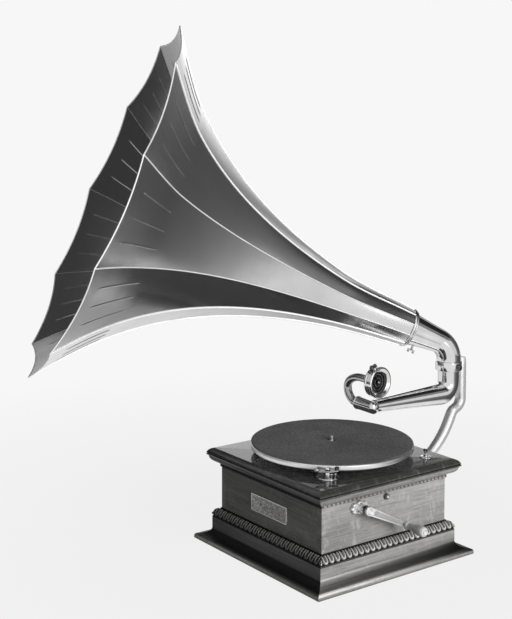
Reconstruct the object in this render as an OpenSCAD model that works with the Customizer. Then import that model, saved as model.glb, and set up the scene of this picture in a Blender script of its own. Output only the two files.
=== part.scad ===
// Gramophone: a panelled flower horn on a swivel elbow, a swinging tone arm with a tip-up sound box,
// and a turntable driven by a spring motor in a moulded oak cabinet. Millimetres, +Z up.
// The origin is on the floor under the turntable's spindle; the plate faces -Y and the crank +X.

/* [Cabinet] */
// Width of the square foot
base_w = 372; // [360:1:390]
// Height of the foot's upright edge
toe_h = 8; // [5:0.5:10]
// Radius of the hollow above the foot
foot_cove_r = 15.4; // [10:0.2:18]
// How far the fascia and the carved moulding stand out from the box
fascia_out = 13; // [8:0.5:18]
// Height of the fascia's top edge
fascia_top = 46; // [40:1:52]
// Outer width of the box
box_w = 296; // [292:1:304]
// Thickness of the box walls
wall_t = 12; // [8:0.5:14]
// Thickness of the bottom board
bottom_t = 8; // [5:0.5:14]
// Height of the cabinet's top
top_z = 177; // [175:1:190]
// Height of the flat band under the cornice
band_h = 8; // [5:0.5:10]
// How far that band stands out from the box
band_out = 4; // [2:0.5:6]
// Radius of the cornice's hollow
cornice_cove_r = 14; // [9:0.5:14]
// Overhang of the motor board beyond the hollow
cornice_lip = 3.5; // [2:0.5:4]
// Height of the motor board's upright edge
slab_h = 7.5; // [5:0.5:9]
// Radius of the motor board's rounded top edge
slab_round = 6.5; // [3:0.5:8]
// Width of the name plate
plate_w = 104; // [80:1:120]
// Height of the name plate
plate_h = 31; // [20:1:34]
// Thickness of the name plate
plate_t = 1.2; // [0.8:0.1:2]
// Height of the name plate's middle
plate_z = 101; // [85:1:112]
// Radius of the stud on the crank side
stud_r = 4.5; // [3:0.5:6]

/* [Turntable] */
// Diameter of the turntable
platter_d = 304.8; // [296:0.1:312]
// Clear height between the cabinet's top and the turntable
platter_lift = 12; // [10:0.5:16]
// Height of the turntable's rim
platter_h = 10.5; // [8:0.5:14]
// Thickness of the turntable's rim
platter_rim_t = 6; // [4:0.5:9]
// Thickness of the turntable's disc
platter_web_t = 3; // [2:0.5:5]
// Thickness of the felt
felt_t = 1.5; // [1:0.1:3]
// Radius of the turntable's hub
hub_r = 14; // [11:0.5:18]
// Radius of the spindle
spindle_r = 6; // [5:0.25:7]
// Radius of the pin that centres a record
pin_r = 3.55; // [3.3:0.05:3.8]
// Straight height of that pin above the felt
pin_h = 7; // [5:0.5:9]

/* [Horn] */
// Number of panels in the horn
panel_count = 11; // [9:1:13]
// Turn of the horn's axis from the front towards -X
horn_turn = 26.1; // [0:0.1:60]
// Rise of the horn's axis above level
horn_rise = 23.8; // [15:0.1:35]
// Length of the horn from its throat to its tips
horn_len = 665.4; // [600:0.1:700]
// Radius of the bell at the panels' tips
bell_r = 357.7; // [320:0.1:380]
// Radius of the horn's throat at the seams
throat_r = 37.5; // [36:0.5:42]
// Length over which the flare grows e-fold
flare_len = 263; // [220:1:300]
// How far the rim is cut back between two tips
rim_recess = 5.8; // [2:0.1:20]
// Turn of the seams about the horn's axis
seam_turn = 10; // [0:0.5:32]
// Thickness of the sheet
sheet_t = 0.8; // [0.6:0.1:1.2]
// Width of a seam bead
seam_w = 3; // [2:0.25:4]
// Height of a seam bead above the sheet
seam_h = 2.2; // [1:0.1:3]
// Height of the embossed ribs
rib_h = 1.6; // [0.8:0.1:2.5]
// Radius of the wire in the rim
rim_wire_r = 2.2; // [1.5:0.1:3]

/* [Elbow and bracket] */
// Distance of the swivel column behind the spindle
column_y = 306.4; // [290:0.2:330]
// Height of the collar's lower face
collar_z = 294; // [286:1:300]
// Height of the collar
collar_h = 18.5; // [15:0.5:22]
// Outer radius of the collar
collar_r = 26.5; // [25.5:0.1:28]
// Outer radius of the elbow's tube
elbow_r = 24.2; // [23.5:0.1:25.5]
// Radius of the elbow's bend
elbow_bend_r = 44; // [38:0.5:48]
// Length of the elbow's flared run to the horn
elbow_run = 60.5; // [50:0.5:76]
// Outer radius of the elbow's mouth
elbow_mouth_r = 33; // [30:0.25:33.5]
// Wall of the elbow and the tone arm
tube_t = 1.5; // [1:0.1:2]
// Width of the bracket across the cabinet
bracket_w = 22; // [18:0.5:28]
// Thickness of the bracket
bracket_t = 14; // [10:0.5:16]
// Height of the bracket's foot on the cabinet
bracket_z = 97; // [92:1:104]

/* [Tone arm] */
// Height of the tone arm's axis
arm_z = 247; // [243:0.5:252]
// Turn of the tone arm from the front towards -X
arm_turn = 2.5; // [-10:0.5:20]
// Distance from the column to the knuckle
knuckle_x = 202; // [180:1:220]
// Outer radius of the arm at the column
arm_r = 21.4; // [18.5:0.1:21.6]
// Outer radius of the arm at the knuckle
arm_tip_r = 11.6; // [9:0.1:11.8]
// Outer radius of the knuckle
knuckle_r = 12.2; // [12:0.1:14]
// Outer radius of the gooseneck tube
neck_r = 8.2; // [7:0.1:9]
// Radius of the gooseneck's bend
neck_bend_r = 25.5; // [23:0.5:30]
// Outer radius of the sound box's front ring
box_ring_r = 30.5; // [28:0.25:33]
// Depth of the sound box
box_depth = 22; // [18:0.5:26]
// Turn of the sound box towards the column
box_toe = 10; // [0:1:20]
// Radius of the hole for a needle
needle_r = 0.8; // [0.7:0.05:1]

/* [Crank] */
// Distance of the crank's shaft from the middle, towards the front
crank_front = 64.4; // [56:0.2:68]
// Height of the crank's shaft
crank_z = 128.5; // [126:0.5:132]
// Throw of the crank
crank_throw = 95; // [80:1:104]
// Drop of the resting crank arm below level
crank_drop = 26; // [0:1:60]
// Length of the grip
grip_len = 48; // [38:1:60]
// Largest radius of the grip
grip_r = 9.5; // [7:0.25:12]
// Radius of the winding shaft
winding_r = 5; // [4:0.25:6]
// Distance from the box to the middle of the crank arm
crank_out = 28; // [26:0.5:36]

/* [Controls] */
// Distance of the speed screw from the inside of the two walls beside it
speed_in = 13; // [10:0.5:16]
// Radius of the speed screw's scalloped base
speed_base_r = 11; // [8:0.5:12]
// Distance of the brake's pivot from the turntable's rim
brake_at = 9.6; // [8.6:0.1:11.6]
// Direction of the brake's pivot from the spindle, from +X towards the front
brake_dir = 43; // [40:0.5:48]
// Radius of the brake's base plate
brake_base_r = 20; // [16:0.5:22]

/* [Motor] */
// Distance of the spring barrel from the middle, towards -X
barrel_left = 50; // [48:0.5:54]
// Outer radius of the spring barrel
barrel_r = 48; // [42:0.5:50]
// Tooth module of the barrel's pair of gears
barrel_module = 1.5; // [1.4:0.05:1.55]
// Tooth module of the spindle's pair of gears
spindle_module = 1.25; // [1.2:0.05:1.3]
// Tooth module of the winding bevels
bevel_module = 2; // [1.8:0.1:2.2]
// Axial module of the governor's worm
worm_module = 1.5; // [1.4:0.05:1.6]
// Radius of the governor's weights
weight_r = 6.5; // [5:0.25:7]

/* [Clearances] */
// Radial clearance of a running fit
run_gap = 0.05; // [0.03:0.01:0.1]
// Clearance between fixed pieces that are fitted together
fit_gap = 0.05; // [0.02:0.01:0.1]
// Clearance between pieces that move past each other
move_gap = 0.4; // [0.3:0.05:0.6]

/* [Hidden] */
$fn = 64;

oak = "#5a4b3c";
dark_oak = "#41372d";
nickel = "#b9bbbc";
steel = "#8c8e90";
brass = "#a58f5a";
iron = "#3d3f41";
felt_grey = "#3a3b3a";
leather = "#2a2522";
mica = "#20211f";

over = 1;
base_r = base_w / 2;
box_r = box_w / 2;
fascia_r = box_r + fascia_out;
inner_r = box_r - wall_t;
foot_hollow_r = min(foot_cove_r, base_r - fascia_r - over);
cornice_r = box_r + band_out + cornice_cove_r + cornice_lip;
cornice_z = top_z - band_h - cornice_cove_r - slab_h - slab_round;
board_t = slab_h + slab_round;
board_z = top_z - board_t;

platter_r = platter_d / 2;
platter_z = top_z + platter_lift;
platter_top = platter_z + platter_h;
felt_top = platter_top + felt_t;
hub_drop = 6;
seat_r = pin_r + 1;
pin_tip_h = 1.5;

// The motor hangs between two plates under the motor board
plate_thick = 4;
top_plate_z = board_z - 17;
low_plate_z = 46;
low_plate_top = low_plate_z + plate_thick;
mid_wheel_z = low_plate_top + 4;
mid_wheel_h = 6;
barrel_gear_z = mid_wheel_z + mid_wheel_h + 6;
barrel_gear_h = 8;
barrel_z = barrel_gear_z + barrel_gear_h;
barrel_t = 2.5;

// Tooth counts, and shares of the pitch that a tooth takes at its root and tip
barrel_teeth = 72;
mid_pinion_teeth = 12;
mid_wheel_teeth = 60;
spindle_teeth = 15;
bevel_pinion_teeth = 14;
bevel_wheel_teeth = 28;
worm_starts = 3;
worm_wheel_teeth = 36;
root_share = 0.27;
tip_share = 0.08;
barrel_at = [-barrel_left, -crank_front];
mid_from_barrel = barrel_module * (barrel_teeth + mid_pinion_teeth) / 2;
mid_from_spindle = spindle_module * (mid_wheel_teeth + spindle_teeth) / 2;
mid_at = meeting_point(mid_from_spindle, mid_from_barrel, barrel_at);
mid_dir = atan2(mid_at[1], mid_at[0]);
barrel_dir = atan2(barrel_at[1] - mid_at[1], barrel_at[0] - mid_at[0]);
bevel_pinion_r = bevel_module * bevel_pinion_teeth / 2;
bevel_wheel_r = bevel_module * bevel_wheel_teeth / 2;
bevel_face = 10;
bevel_base_h = 5;
bevel_base_z = crank_z - bevel_pinion_r - bevel_base_h;
barrel_top = bevel_base_z - 1;
cover_t = 2.5;
arbor_r = 6;
arbor_hub_r = 10;
worm_r = 7;
worm_wheel_r = worm_module * worm_wheel_teeth / 2;
worm_lead = PI * worm_module * worm_starts;
barrel_fit_r = min(barrel_r, norm(barrel_at) - worm_wheel_r - worm_module - 1);
worm_len = 22;
worm_wheel_h = 8;
gov_y = worm_wheel_r + worm_r;
gov_z = 95;
gov_shaft_r = 3;
gov_left = -24;
gov_right = 90;
gov_post_w = 8;
gov_hub_r = 9;
gov_hub_w = 6;
gov_hub_x = [26, 62];
gov_disc_r = 17;
gov_disc_t = 3;
spring_t = 0.6;
spring_w = 5;

// The regulator's lever turns on a stud under the board and bears on the governor's disc
lever_at = [104, 76];
lever_z = gov_z + 1;
lever_t = 3;
lever_w = 8;
lever_hub_r = 7;
lever_stud_r = 3;
cam_r = 6;
cam_rise = 3;
speed_stem_r = 2.5;
speed_at = inner_r - speed_in;

// The swivel column and the horn's place on it
collar_top = collar_z + collar_h;
collar_seat = collar_z + 7;
collar_wide_r = elbow_r - tube_t;
elbow_z = collar_top + 3;
elbow_turn = 90 - horn_rise;
throat_x = elbow_bend_r * (1 - cos(elbow_turn)) + elbow_run * sin(elbow_turn);
throat_z = elbow_z + elbow_bend_r * sin(elbow_turn) + elbow_run * cos(elbow_turn);
bracket_back = 36;
bracket_y = column_y + bracket_back;
foot_w = 50;
foot_h = 70;
foot_t = 8;
screw_r = 2.2;
screw_head_r = 4.5;
screw_head_h = 2.4;

// Stations along and across a horn panel: the ribs lie between two stations each way
half_panel = 180 / panel_count;
stations = [0, 0.13, 0.26, 0.39, 0.51, 0.62, 0.71, 0.79, 0.86, 0.9, 0.94, 0.975, 1];
rib_from = 8;
rib_to = 11;
rib_half = 0.03;
rib_at = [-0.5, 0, 0.5];
across = [-1, for (r = rib_at) each [r - rib_half, r, r + rib_half], 1];
seam_gap = 0.3;
ferrule_r = throat_r * cos(half_panel) - sheet_t - 0.4;
ferrule_len = 26;

arm_bend_r = arm_r + 3.5;
knuckle_end = 13;
knuckle_left = 40;
neck_left = 45;
neck_in = 8;
neck_up = 2 * neck_bend_r;
neck_t = 1.2;
box_back = -5;
box_shell_r = box_ring_r - 2;
ring_t = 6;
ring_hole_r = 21;
chuck_dir = 58;
chuck_r = 3.2;
chuck_len = 8.5;
needle_depth = 8;

grip_pin_r = 3;
crank_arm_t = 5;
crank_arm_w = 15;
crank_tip_w = 9;
bush_r = 8.5;
escutcheon_t = 8;
escutcheon_r = min(13, cornice_z - crank_z - move_gap);

function polar(r, a) = [r * cos(a), r * sin(a)];

// Where a point lies that has one distance from the origin and another from place
function meeting_point(from_origin, from_place, place) =
    let (d = norm(place), u = place / d,
         along = (from_origin * from_origin - from_place * from_place + d * d) / (2 * d),
         off = sqrt(from_origin * from_origin - along * along))
    [along * u[0] + off * u[1], along * u[1] - off * u[0]];

function gear_outline(teeth, root_r, tip_r) =
    [for (i = [0 : teeth - 1]) let (pitch = 360 / teeth, a = pitch * i) each
        [polar(root_r, a - root_share * pitch), polar(tip_r, a - tip_share * pitch),
         polar(tip_r, a + tip_share * pitch), polar(root_r, a + root_share * pitch)]];

// A flare that grows by a fixed share of itself over each equal length
flare_gain = (bell_r - throat_r) / (exp(horn_len / flare_len) - 1);
function flare_r(s) = throat_r + flare_gain * (exp(s / flare_len) - 1);
function flare_slope(s) = flare_gain / flare_len * exp(s / flare_len);

// The rim of a panel, as a length along the axis: tips at both seams, cut back between them
function rim_s(w) = horn_len - rim_recess * (1 - w * w);

// Outward and onward directions on a panel, as [out from the axis, along the axis]
function outward(slope) = [1, -slope] / norm([1, slope]);
function onward(slope) = [slope, 1] / norm([1, slope]);

// A point of a panel's outer face, raised by lift, as [out, across, along]
function panel_point(t, w, lift) =
    let (s = t * rim_s(w), flat = cos(half_panel), n = outward(flare_slope(s) * flat),
         half = flare_r(s) * sin(half_panel) - (seam_w / 2 + seam_gap) / cos(half_panel))
    [flare_r(s) * flat + lift * n[0], w * half, s + lift * n[1]];

function rib_lift(i, w) = i > rib_from && i < rib_to && len(search(w, rib_at)) > 0 ? rib_h : 0;

// Two triangles for each cell of a grid of rows by cols points; first is its first point
function grid_faces(rows, cols, first, flip) =
    [for (i = [0 : rows - 2], j = [0 : cols - 2])
        let (a = first + i * cols + j, b = a + 1, c = a + cols, d = c + 1)
        each (flip ? [[a, b, d], [a, d, c]] : [[a, d, b], [a, c, d]])];

// Faces that join the edges of two grids of equal size, the second after the first
function edge_faces(loop, shift) =
    [for (k = [0 : len(loop) - 1])
        let (a = loop[k], b = loop[(k + 1) % len(loop)])
        each [[a, b, b + shift], [a, b + shift, a + shift]]];

function grid_edge(rows, cols) = concat(
    [for (j = [0 : cols - 1]) j],
    [for (i = [1 : rows - 1]) i * cols + cols - 1],
    [for (j = [cols - 2 : -1 : 0]) (rows - 1) * cols + j],
    [for (i = [rows - 2 : -1 : 1]) i * cols]);

// Side faces of a tube of rings with sides points each, open or closed to a loop
function tube_faces(rings, sides, closed) =
    [for (i = [0 : rings - (closed ? 1 : 2)], j = [0 : sides - 1])
        let (i2 = (i + 1) % rings, j2 = (j + 1) % sides,
             a = i * sides + j, b = i * sides + j2, c = i2 * sides + j, d = i2 * sides + j2)
        each [[a, b, d], [a, d, c]]];

function cap_fan(first, sides, flip) =
    [for (j = [1 : sides - 2]) flip ? [first, first + j + 1, first + j] : [first, first + j, first + j + 1]];

// Four mitred lengths of one moulding, whose outline is drawn as distance from the middle and height
module moulding_frame(reach, tall) {
    for (side = [0 : 3])
        rotate([0, 0, 90 * side])
            intersection() {
                rotate([90, 0, 0])
                    linear_extrude(2 * reach + 2 * over, center = true) children();
                translate([0, 0, -over])
                    linear_extrude(tall + 2 * over)
                        polygon([[0, 0], [reach + over, reach + over], [reach + over, -reach - over]]);
            }
}

module cabinet_wall(side) {
    rotate([0, 0, 90 * side])
        linear_extrude(board_z)
            polygon([[-box_r, -box_r], [box_r, -box_r], [inner_r, -inner_r], [-inner_r, -inner_r]]);
}

module crank_bore(r) {
    translate([inner_r - over, -crank_front, crank_z])
        rotate([0, 90, 0]) cylinder(h = wall_t + 2 * over, r = r);
}

module bracket_screw_places() {
    for (x = [-1, 1], z = [-1, 1])
        translate([x * (foot_w / 2 - 9), box_r, bracket_z + z * (foot_h / 2 - 9)])
            rotate([-90, 0, 0]) children();
}

module cabinet_front() { color(oak) cabinet_wall(0); }

module cabinet_back() {
    color(oak) difference() {
        cabinet_wall(2);
        bracket_screw_places() translate([0, 0, -wall_t - over]) cylinder(h = wall_t + 2 * over, r = screw_r);
    }
}

module cabinet_left() { color(oak) cabinet_wall(3); }

module cabinet_right() {
    color(oak) difference() {
        cabinet_wall(1);
        crank_bore(bush_r + fit_gap);
    }
}

module plinth_moulding() {
    hollow_r = fascia_r + foot_hollow_r;
    hollow_z = toe_h + foot_hollow_r;
    color(dark_oak) moulding_frame(base_r, fascia_top) union() {
        translate([box_r, 0]) square([base_r - box_r, toe_h]);
        translate([box_r, 0]) square([fascia_r - box_r, fascia_top]);
        difference() {
            translate([box_r, 0]) square([hollow_r - box_r, hollow_z]);
            translate([hollow_r, hollow_z]) circle(foot_hollow_r);
        }
    }
}

module carved_moulding() {
    color(dark_oak) moulding_frame(fascia_r, fascia_top + fascia_out) intersection() {
        translate([box_r, fascia_top]) circle(fascia_out);
        translate([box_r, fascia_top]) square(fascia_out);
    }
}

module cornice_moulding() {
    hollow_r = box_r + band_out + cornice_cove_r;
    color(dark_oak) moulding_frame(hollow_r, board_z) union() {
        translate([box_r, cornice_z]) square([band_out, band_h + cornice_cove_r]);
        difference() {
            translate([box_r, cornice_z + band_h]) square([hollow_r - box_r, cornice_cove_r]);
            translate([hollow_r, cornice_z + band_h]) circle(cornice_cove_r);
        }
    }
}

// The motor board's outline from the side, with its rounded top edges
module board_outline() {
    translate([-cornice_r, 0]) square([2 * cornice_r, slab_h]);
    translate([slab_round - cornice_r, 0]) square([2 * (cornice_r - slab_round), board_t]);
    for (side = [-1, 1]) translate([side * (cornice_r - slab_round), slab_h]) intersection() {
        circle(slab_round);
        translate([-slab_round, 0]) square([2 * slab_round, slab_round]);
    }
}

module motor_board() {
    color(dark_oak) difference() {
        translate([0, 0, board_z]) intersection() {
            rotate([90, 0, 0]) linear_extrude(2 * cornice_r, center = true) board_outline();
            rotate([90, 0, 90]) linear_extrude(2 * cornice_r, center = true) board_outline();
        }
        translate([0, 0, board_z - over]) cylinder(h = board_t + 2 * over, r = hub_r + 2);
        translate([speed_at, speed_at, board_z - over])
            cylinder(h = board_t + 2 * over, r = speed_stem_r + move_gap);
    }
}

module bottom_board() {
    color(oak) translate([-inner_r, -inner_r, 0]) cube([2 * inner_r, 2 * inner_r, bottom_t]);
}

module name_plate() {
    color(brass) translate([-plate_w / 2, -box_r - plate_t, plate_z - plate_h / 2])
        cube([plate_w, plate_t, plate_h]);
}

module side_stud() {
    neck_len = 2.5;
    color(steel) translate([box_r, 0, cornice_z - stud_r - 1.5]) rotate([0, 90, 0]) {
        cylinder(h = neck_len, r = stud_r * 0.6);
        translate([0, 0, neck_len]) intersection() {
            cylinder(h = stud_r, r = stud_r);
            sphere(stud_r);
        }
    }
}

// The motor plates' outline, and the pillars that hold them apart
motor_x = [-112, 96];
motor_y = [-116, 90];
pillar_r = 5;
pillar_in = 9;

module pillar_places() {
    for (x = [motor_x[0] + pillar_in, motor_x[1] - pillar_in], y = [motor_y[0] + pillar_in, motor_y[1] - pillar_in])
        translate([x, y, 0]) children();
}

module motor_plate(z) {
    translate([motor_x[0], motor_y[0], z])
        cube([motor_x[1] - motor_x[0], motor_y[1] - motor_y[0], plate_thick]);
}

module arbor_bores(z) {
    translate([0, 0, z - over]) cylinder(h = plate_thick + 2 * over, r = spindle_r + run_gap);
    translate([mid_at[0], mid_at[1], z - over]) cylinder(h = plate_thick + 2 * over, r = mid_arbor_r + run_gap);
    translate([barrel_at[0], barrel_at[1], z - over]) cylinder(h = plate_thick + 2 * over, r = arbor_r + run_gap);
}

module motor_top_plate() {
    color(iron) difference() {
        motor_plate(top_plate_z);
        arbor_bores(top_plate_z);
    }
}

module motor_bottom_plate() {
    color(iron) difference() {
        motor_plate(low_plate_z);
        arbor_bores(low_plate_z);
    }
}

// Pillars between the plates and up to the board, and the stud that the regulator's lever swings on
module motor_pillars() {
    stud_foot = 3;
    color(steel) {
        pillar_places() {
            translate([0, 0, low_plate_top]) cylinder(h = top_plate_z - low_plate_top, r = pillar_r);
            translate([0, 0, top_plate_z + plate_thick])
                cylinder(h = board_z - top_plate_z - plate_thick, r = pillar_r);
        }
        translate([lever_at[0], lever_at[1], lever_z - stud_foot]) {
            cylinder(h = board_z - lever_z + stud_foot, r = lever_stud_r);
            cylinder(h = stud_foot - run_gap, r = lever_hub_r);
        }
    }
}

module governor_posts() {
    color(brass) for (x = [gov_left, gov_right])
        translate([x, gov_y, 0]) difference() {
            translate([-gov_post_w / 2, -7, gov_z - 8]) cube([gov_post_w, 14, top_plate_z - gov_z + 8]);
            translate([-gov_post_w, 0, gov_z]) rotate([0, 90, 0])
                cylinder(h = 2 * gov_post_w, r = gov_shaft_r + run_gap);
        }
}

// A round plate with a scalloped edge of equal lobes
module scalloped_plate(r, lobes, t) {
    lobe_r = r * 0.3;
    linear_extrude(t) union() {
        circle(r - lobe_r);
        for (k = [0 : lobes - 1]) rotate(360 * k / lobes) translate([r - lobe_r, 0]) circle(lobe_r);
    }
}

// An oval plate with eight lobes, its long way along Y
module lobed_oval(high, wide, t) {
    lobe_r = high * 0.42;
    linear_extrude(t) union() {
        square([2 * (high - lobe_r) + 2, 2 * (wide - high) + 2], center = true);
        for (side = [-1, 1]) translate([0, side * (wide - high)]) circle(high - lobe_r + 1);
        for (a = [0 : 45 : 315]) translate([(high - lobe_r) * cos(a), (wide - lobe_r) * sin(a)]) circle(lobe_r);
    }
}

module crank_escutcheon() {
    color(nickel) difference() {
        union() {
            translate([box_r, -crank_front, crank_z]) rotate([0, 90, 0])
                lobed_oval(escutcheon_r, escutcheon_r + 9, escutcheon_t);
            translate([inner_r, -crank_front, crank_z]) rotate([0, 90, 0]) cylinder(h = wall_t, r = bush_r);
            translate([box_r, -crank_front, crank_z]) rotate([0, 90, 0]) cylinder(h = escutcheon_t + 4, r = bush_r);
        }
        translate([inner_r - over, -crank_front, crank_z]) rotate([0, 90, 0])
            cylinder(h = wall_t + escutcheon_t + 4 + 2 * over, r = winding_r + run_gap);
    }
}

brake_out = platter_r + brake_at;
brake_pivot = polar(brake_out, -brake_dir);
brake_plate_t = 2;
brake_post_r = 3;
brake_z = platter_z + 2;
brake_t = 3;

module brake_base() {
    plate_at = polar(brake_out - brake_base_r + 5, -brake_dir);
    color(nickel) {
        translate([plate_at[0], plate_at[1], top_z]) cylinder(h = brake_plate_t, r = brake_base_r);
        translate([brake_pivot[0], brake_pivot[1], top_z + brake_plate_t])
            cylinder(h = brake_z + brake_t + 2 - top_z - brake_plate_t, r = brake_post_r);
        translate([brake_pivot[0], brake_pivot[1], top_z + brake_plate_t])
            cylinder(h = brake_z - move_gap - top_z - brake_plate_t, r = brake_post_r + 1.5);
    }
}

module speed_base() {
    color(nickel) translate([speed_at, speed_at, top_z]) difference() {
        scalloped_plate(speed_base_r, 8, 2.5);
        translate([0, 0, -over]) cylinder(h = 2.5 + 2 * over, r = speed_stem_r + move_gap);
    }
}

// The bracket's flat oval section, swept in the plane of the column and the spindle
module bracket_section(grow = 0) {
    ends = (bracket_w - bracket_t) / 2;
    square([bracket_t + 2 * grow, 2 * ends], center = true);
    for (e = [-1, 1]) translate([0, e * ends]) circle(bracket_t / 2 + grow);
}

module bracket_length(length, grow = 0) {
    rotate([0, 90, 0]) rotate([0, 0, 90]) linear_extrude(length) bracket_section(grow);
}

// A low bead where two lengths of the bracket meet
module bracket_bead() {
    bead_w = 2.5;
    translate([-bead_w / 2, 0, 0]) bracket_length(bead_w, 0.4);
}

module run_on(length) {
    bracket_bead();
    bracket_length(length);
    translate([length, 0, 0]) children();
}

module bend_up(r, turn) {
    bracket_bead();
    translate([0, r, 0]) rotate([0, 0, -90]) rotate_extrude(angle = turn) translate([r, 0]) bracket_section();
    translate([r * sin(turn), r * (1 - cos(turn)), 0]) rotate([0, 0, turn]) children();
}

module bend_over(r, turn) {
    bracket_bead();
    translate([0, -r, 0]) rotate([0, 0, 90 - turn])
        rotate_extrude(angle = turn) translate([r, 0]) bracket_section();
    translate([r * sin(turn), -r * (1 - cos(turn)), 0]) rotate([0, 0, -turn]) children();
}

// Turns of the bracket's S, and the runs between them, which end upright behind the column
bracket_rise = 62;
bracket_lean = 25;
bracket_over_r = 12;
bracket_up_r = 22;
bracket_run = 17;
bracket_step = 7.3;
bracket_big_r = (bracket_y - box_r - foot_t - bracket_step - bracket_run * cos(bracket_rise)
    - bracket_over_r * (sin(bracket_rise) - sin(bracket_lean)) - bracket_up_r * (1 - sin(bracket_lean)))
    / sin(bracket_rise);
bracket_knee_z = bracket_z + bracket_big_r * (1 - cos(bracket_rise)) + bracket_run * sin(bracket_rise)
    + bracket_over_r * (cos(bracket_lean) - cos(bracket_rise)) + bracket_step * tan(bracket_lean)
    + bracket_up_r * cos(bracket_lean);

module bracket() {
    color(nickel) difference() {
        union() {
            translate([-foot_w / 2, box_r, bracket_z - foot_h / 2]) cube([foot_w, foot_t, foot_h]);
            translate([0, box_r + foot_t, bracket_z]) rotate([90, 0, 90])
                bend_up(bracket_big_r, bracket_rise) run_on(bracket_run)
                bend_over(bracket_over_r, bracket_rise - bracket_lean) run_on(bracket_step / cos(bracket_lean))
                bend_up(bracket_up_r, 90 - bracket_lean) run_on(collar_top + 3 - bracket_knee_z);
        }
        bracket_screw_places() translate([0, 0, -over]) cylinder(h = foot_t + 2 * over, r = screw_r);
    }
}

module bracket_collar() {
    lug_y = column_y + collar_r - 2;
    lug_w = 12;
    color(nickel) translate([0, 0, collar_z]) difference() {
        union() {
            translate([0, column_y, 0]) cylinder(h = collar_h, r = collar_r);
            translate([-lug_w / 2, lug_y, 2])
                cube([lug_w, bracket_y - bracket_t / 2 - fit_gap - lug_y, collar_h - 4]);
        }
        translate([0, column_y, -over]) cylinder(h = collar_h + 2 * over, r = arm_r + run_gap);
        translate([0, column_y, collar_seat - collar_z]) cylinder(h = collar_h, r = collar_wide_r + run_gap);
    }
}

// Screws through the bracket's foot, and round-headed screws on the collar's two sides
module fixing_screws() {
    side_screw_r = 3.2;
    side_screw_len = 7;
    color(steel) {
        bracket_screw_places() translate([0, 0, -wall_t + 2]) {
            cylinder(h = wall_t + foot_t - 2, r = screw_r - fit_gap);
            translate([0, 0, wall_t + foot_t - 2]) cylinder(h = screw_head_h, r = screw_head_r);
        }
        for (side = [-1, 1])
            translate([side * (collar_r - 0.1), column_y, collar_z + collar_h / 2]) difference() {
                rotate([0, side * 90, 0]) cylinder(h = side_screw_len, r = side_screw_r);
                translate([-side * (collar_r - 0.1), 0, -collar_h])
                    cylinder(h = 2 * collar_h, r = collar_r + fit_gap);
            }
    }
}

module platter() {
    color(nickel) difference() {
        union() {
            translate([0, 0, platter_z]) difference() {
                cylinder(h = platter_h, r = platter_r, $fn = 128);
                translate([0, 0, -over])
                    cylinder(h = platter_h - platter_web_t + over, r = platter_r - platter_rim_t, $fn = 128);
            }
            translate([0, 0, platter_z - hub_drop]) cylinder(h = platter_h + hub_drop, r = hub_r);
        }
        translate([0, 0, platter_z - hub_drop - over])
            cylinder(h = platter_h + hub_drop + 2 * over, r = spindle_r + fit_gap);
    }
}

module turntable_felt() {
    color(felt_grey) translate([0, 0, platter_top]) difference() {
        cylinder(h = felt_t, r = platter_r - 1, $fn = 128);
        translate([0, 0, -over]) cylinder(h = felt_t + 2 * over, r = spindle_r + fit_gap);
    }
}

module spindle() {
    flange_r = spindle_r + 5;
    color(steel) {
        translate([0, 0, low_plate_z + 1]) cylinder(h = platter_top - low_plate_z - 1, r = spindle_r);
        translate([0, 0, platter_z - hub_drop - 3]) cylinder(h = 3, r = flange_r);
        translate([0, 0, platter_top]) cylinder(h = felt_t, r = seat_r);
        translate([0, 0, felt_top]) cylinder(h = pin_h, r = pin_r);
        translate([0, 0, felt_top + pin_h]) cylinder(h = pin_tip_h, r1 = pin_r, r2 = pin_r * 0.6);
    }
}

module spur(teeth, tooth_module, h, bore_r) {
    r = tooth_module * teeth / 2;
    difference() {
        linear_extrude(h) polygon(gear_outline(teeth, r - 1.2 * tooth_module, r + 0.9 * tooth_module));
        translate([0, 0, -over]) cylinder(h = h + 2 * over, r = bore_r);
    }
}

module spindle_pinion() {
    color(steel) translate([0, 0, mid_wheel_z - 1]) rotate(mid_dir)
        spur(spindle_teeth, spindle_module, mid_wheel_h + 2, spindle_r + fit_gap);
}

mid_arbor_r = 4;

// The intermediate arbor, with its leaves cut from the solid
module mid_arbor() {
    color(steel) translate([mid_at[0], mid_at[1], 0]) {
        translate([0, 0, low_plate_z + 1])
            cylinder(h = top_plate_z + plate_thick - low_plate_z - 2, r = mid_arbor_r);
        translate([0, 0, barrel_gear_z - 1]) rotate(barrel_dir)
            spur(mid_pinion_teeth, barrel_module, barrel_gear_h + 2, mid_arbor_r - 1);
    }
}

module mid_wheel() {
    color(brass) translate([mid_at[0], mid_at[1], mid_wheel_z]) rotate(mid_dir + 180 + 180 / mid_wheel_teeth)
        spur(mid_wheel_teeth, spindle_module, mid_wheel_h, mid_arbor_r + fit_gap);
}

module barrel_gear() {
    color(brass) translate([barrel_at[0], barrel_at[1], barrel_gear_z])
        rotate(barrel_dir + 180 + 180 / barrel_teeth)
            spur(barrel_teeth, barrel_module, barrel_gear_h, arbor_r + run_gap);
}

module spring_barrel() {
    color(steel) translate([barrel_at[0], barrel_at[1], barrel_z]) difference() {
        cylinder(h = barrel_top - barrel_z - cover_t, r = barrel_fit_r);
        translate([0, 0, barrel_t]) cylinder(h = barrel_top - barrel_z, r = barrel_fit_r - barrel_t);
        translate([0, 0, -over]) cylinder(h = barrel_t + 2 * over, r = arbor_r + run_gap);
    }
}

module barrel_cover() {
    color(steel) translate([barrel_at[0], barrel_at[1], barrel_top - cover_t]) difference() {
        cylinder(h = cover_t, r = barrel_fit_r);
        translate([0, 0, -over]) cylinder(h = cover_t + 2 * over, r = arbor_r + run_gap);
    }
}

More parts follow.
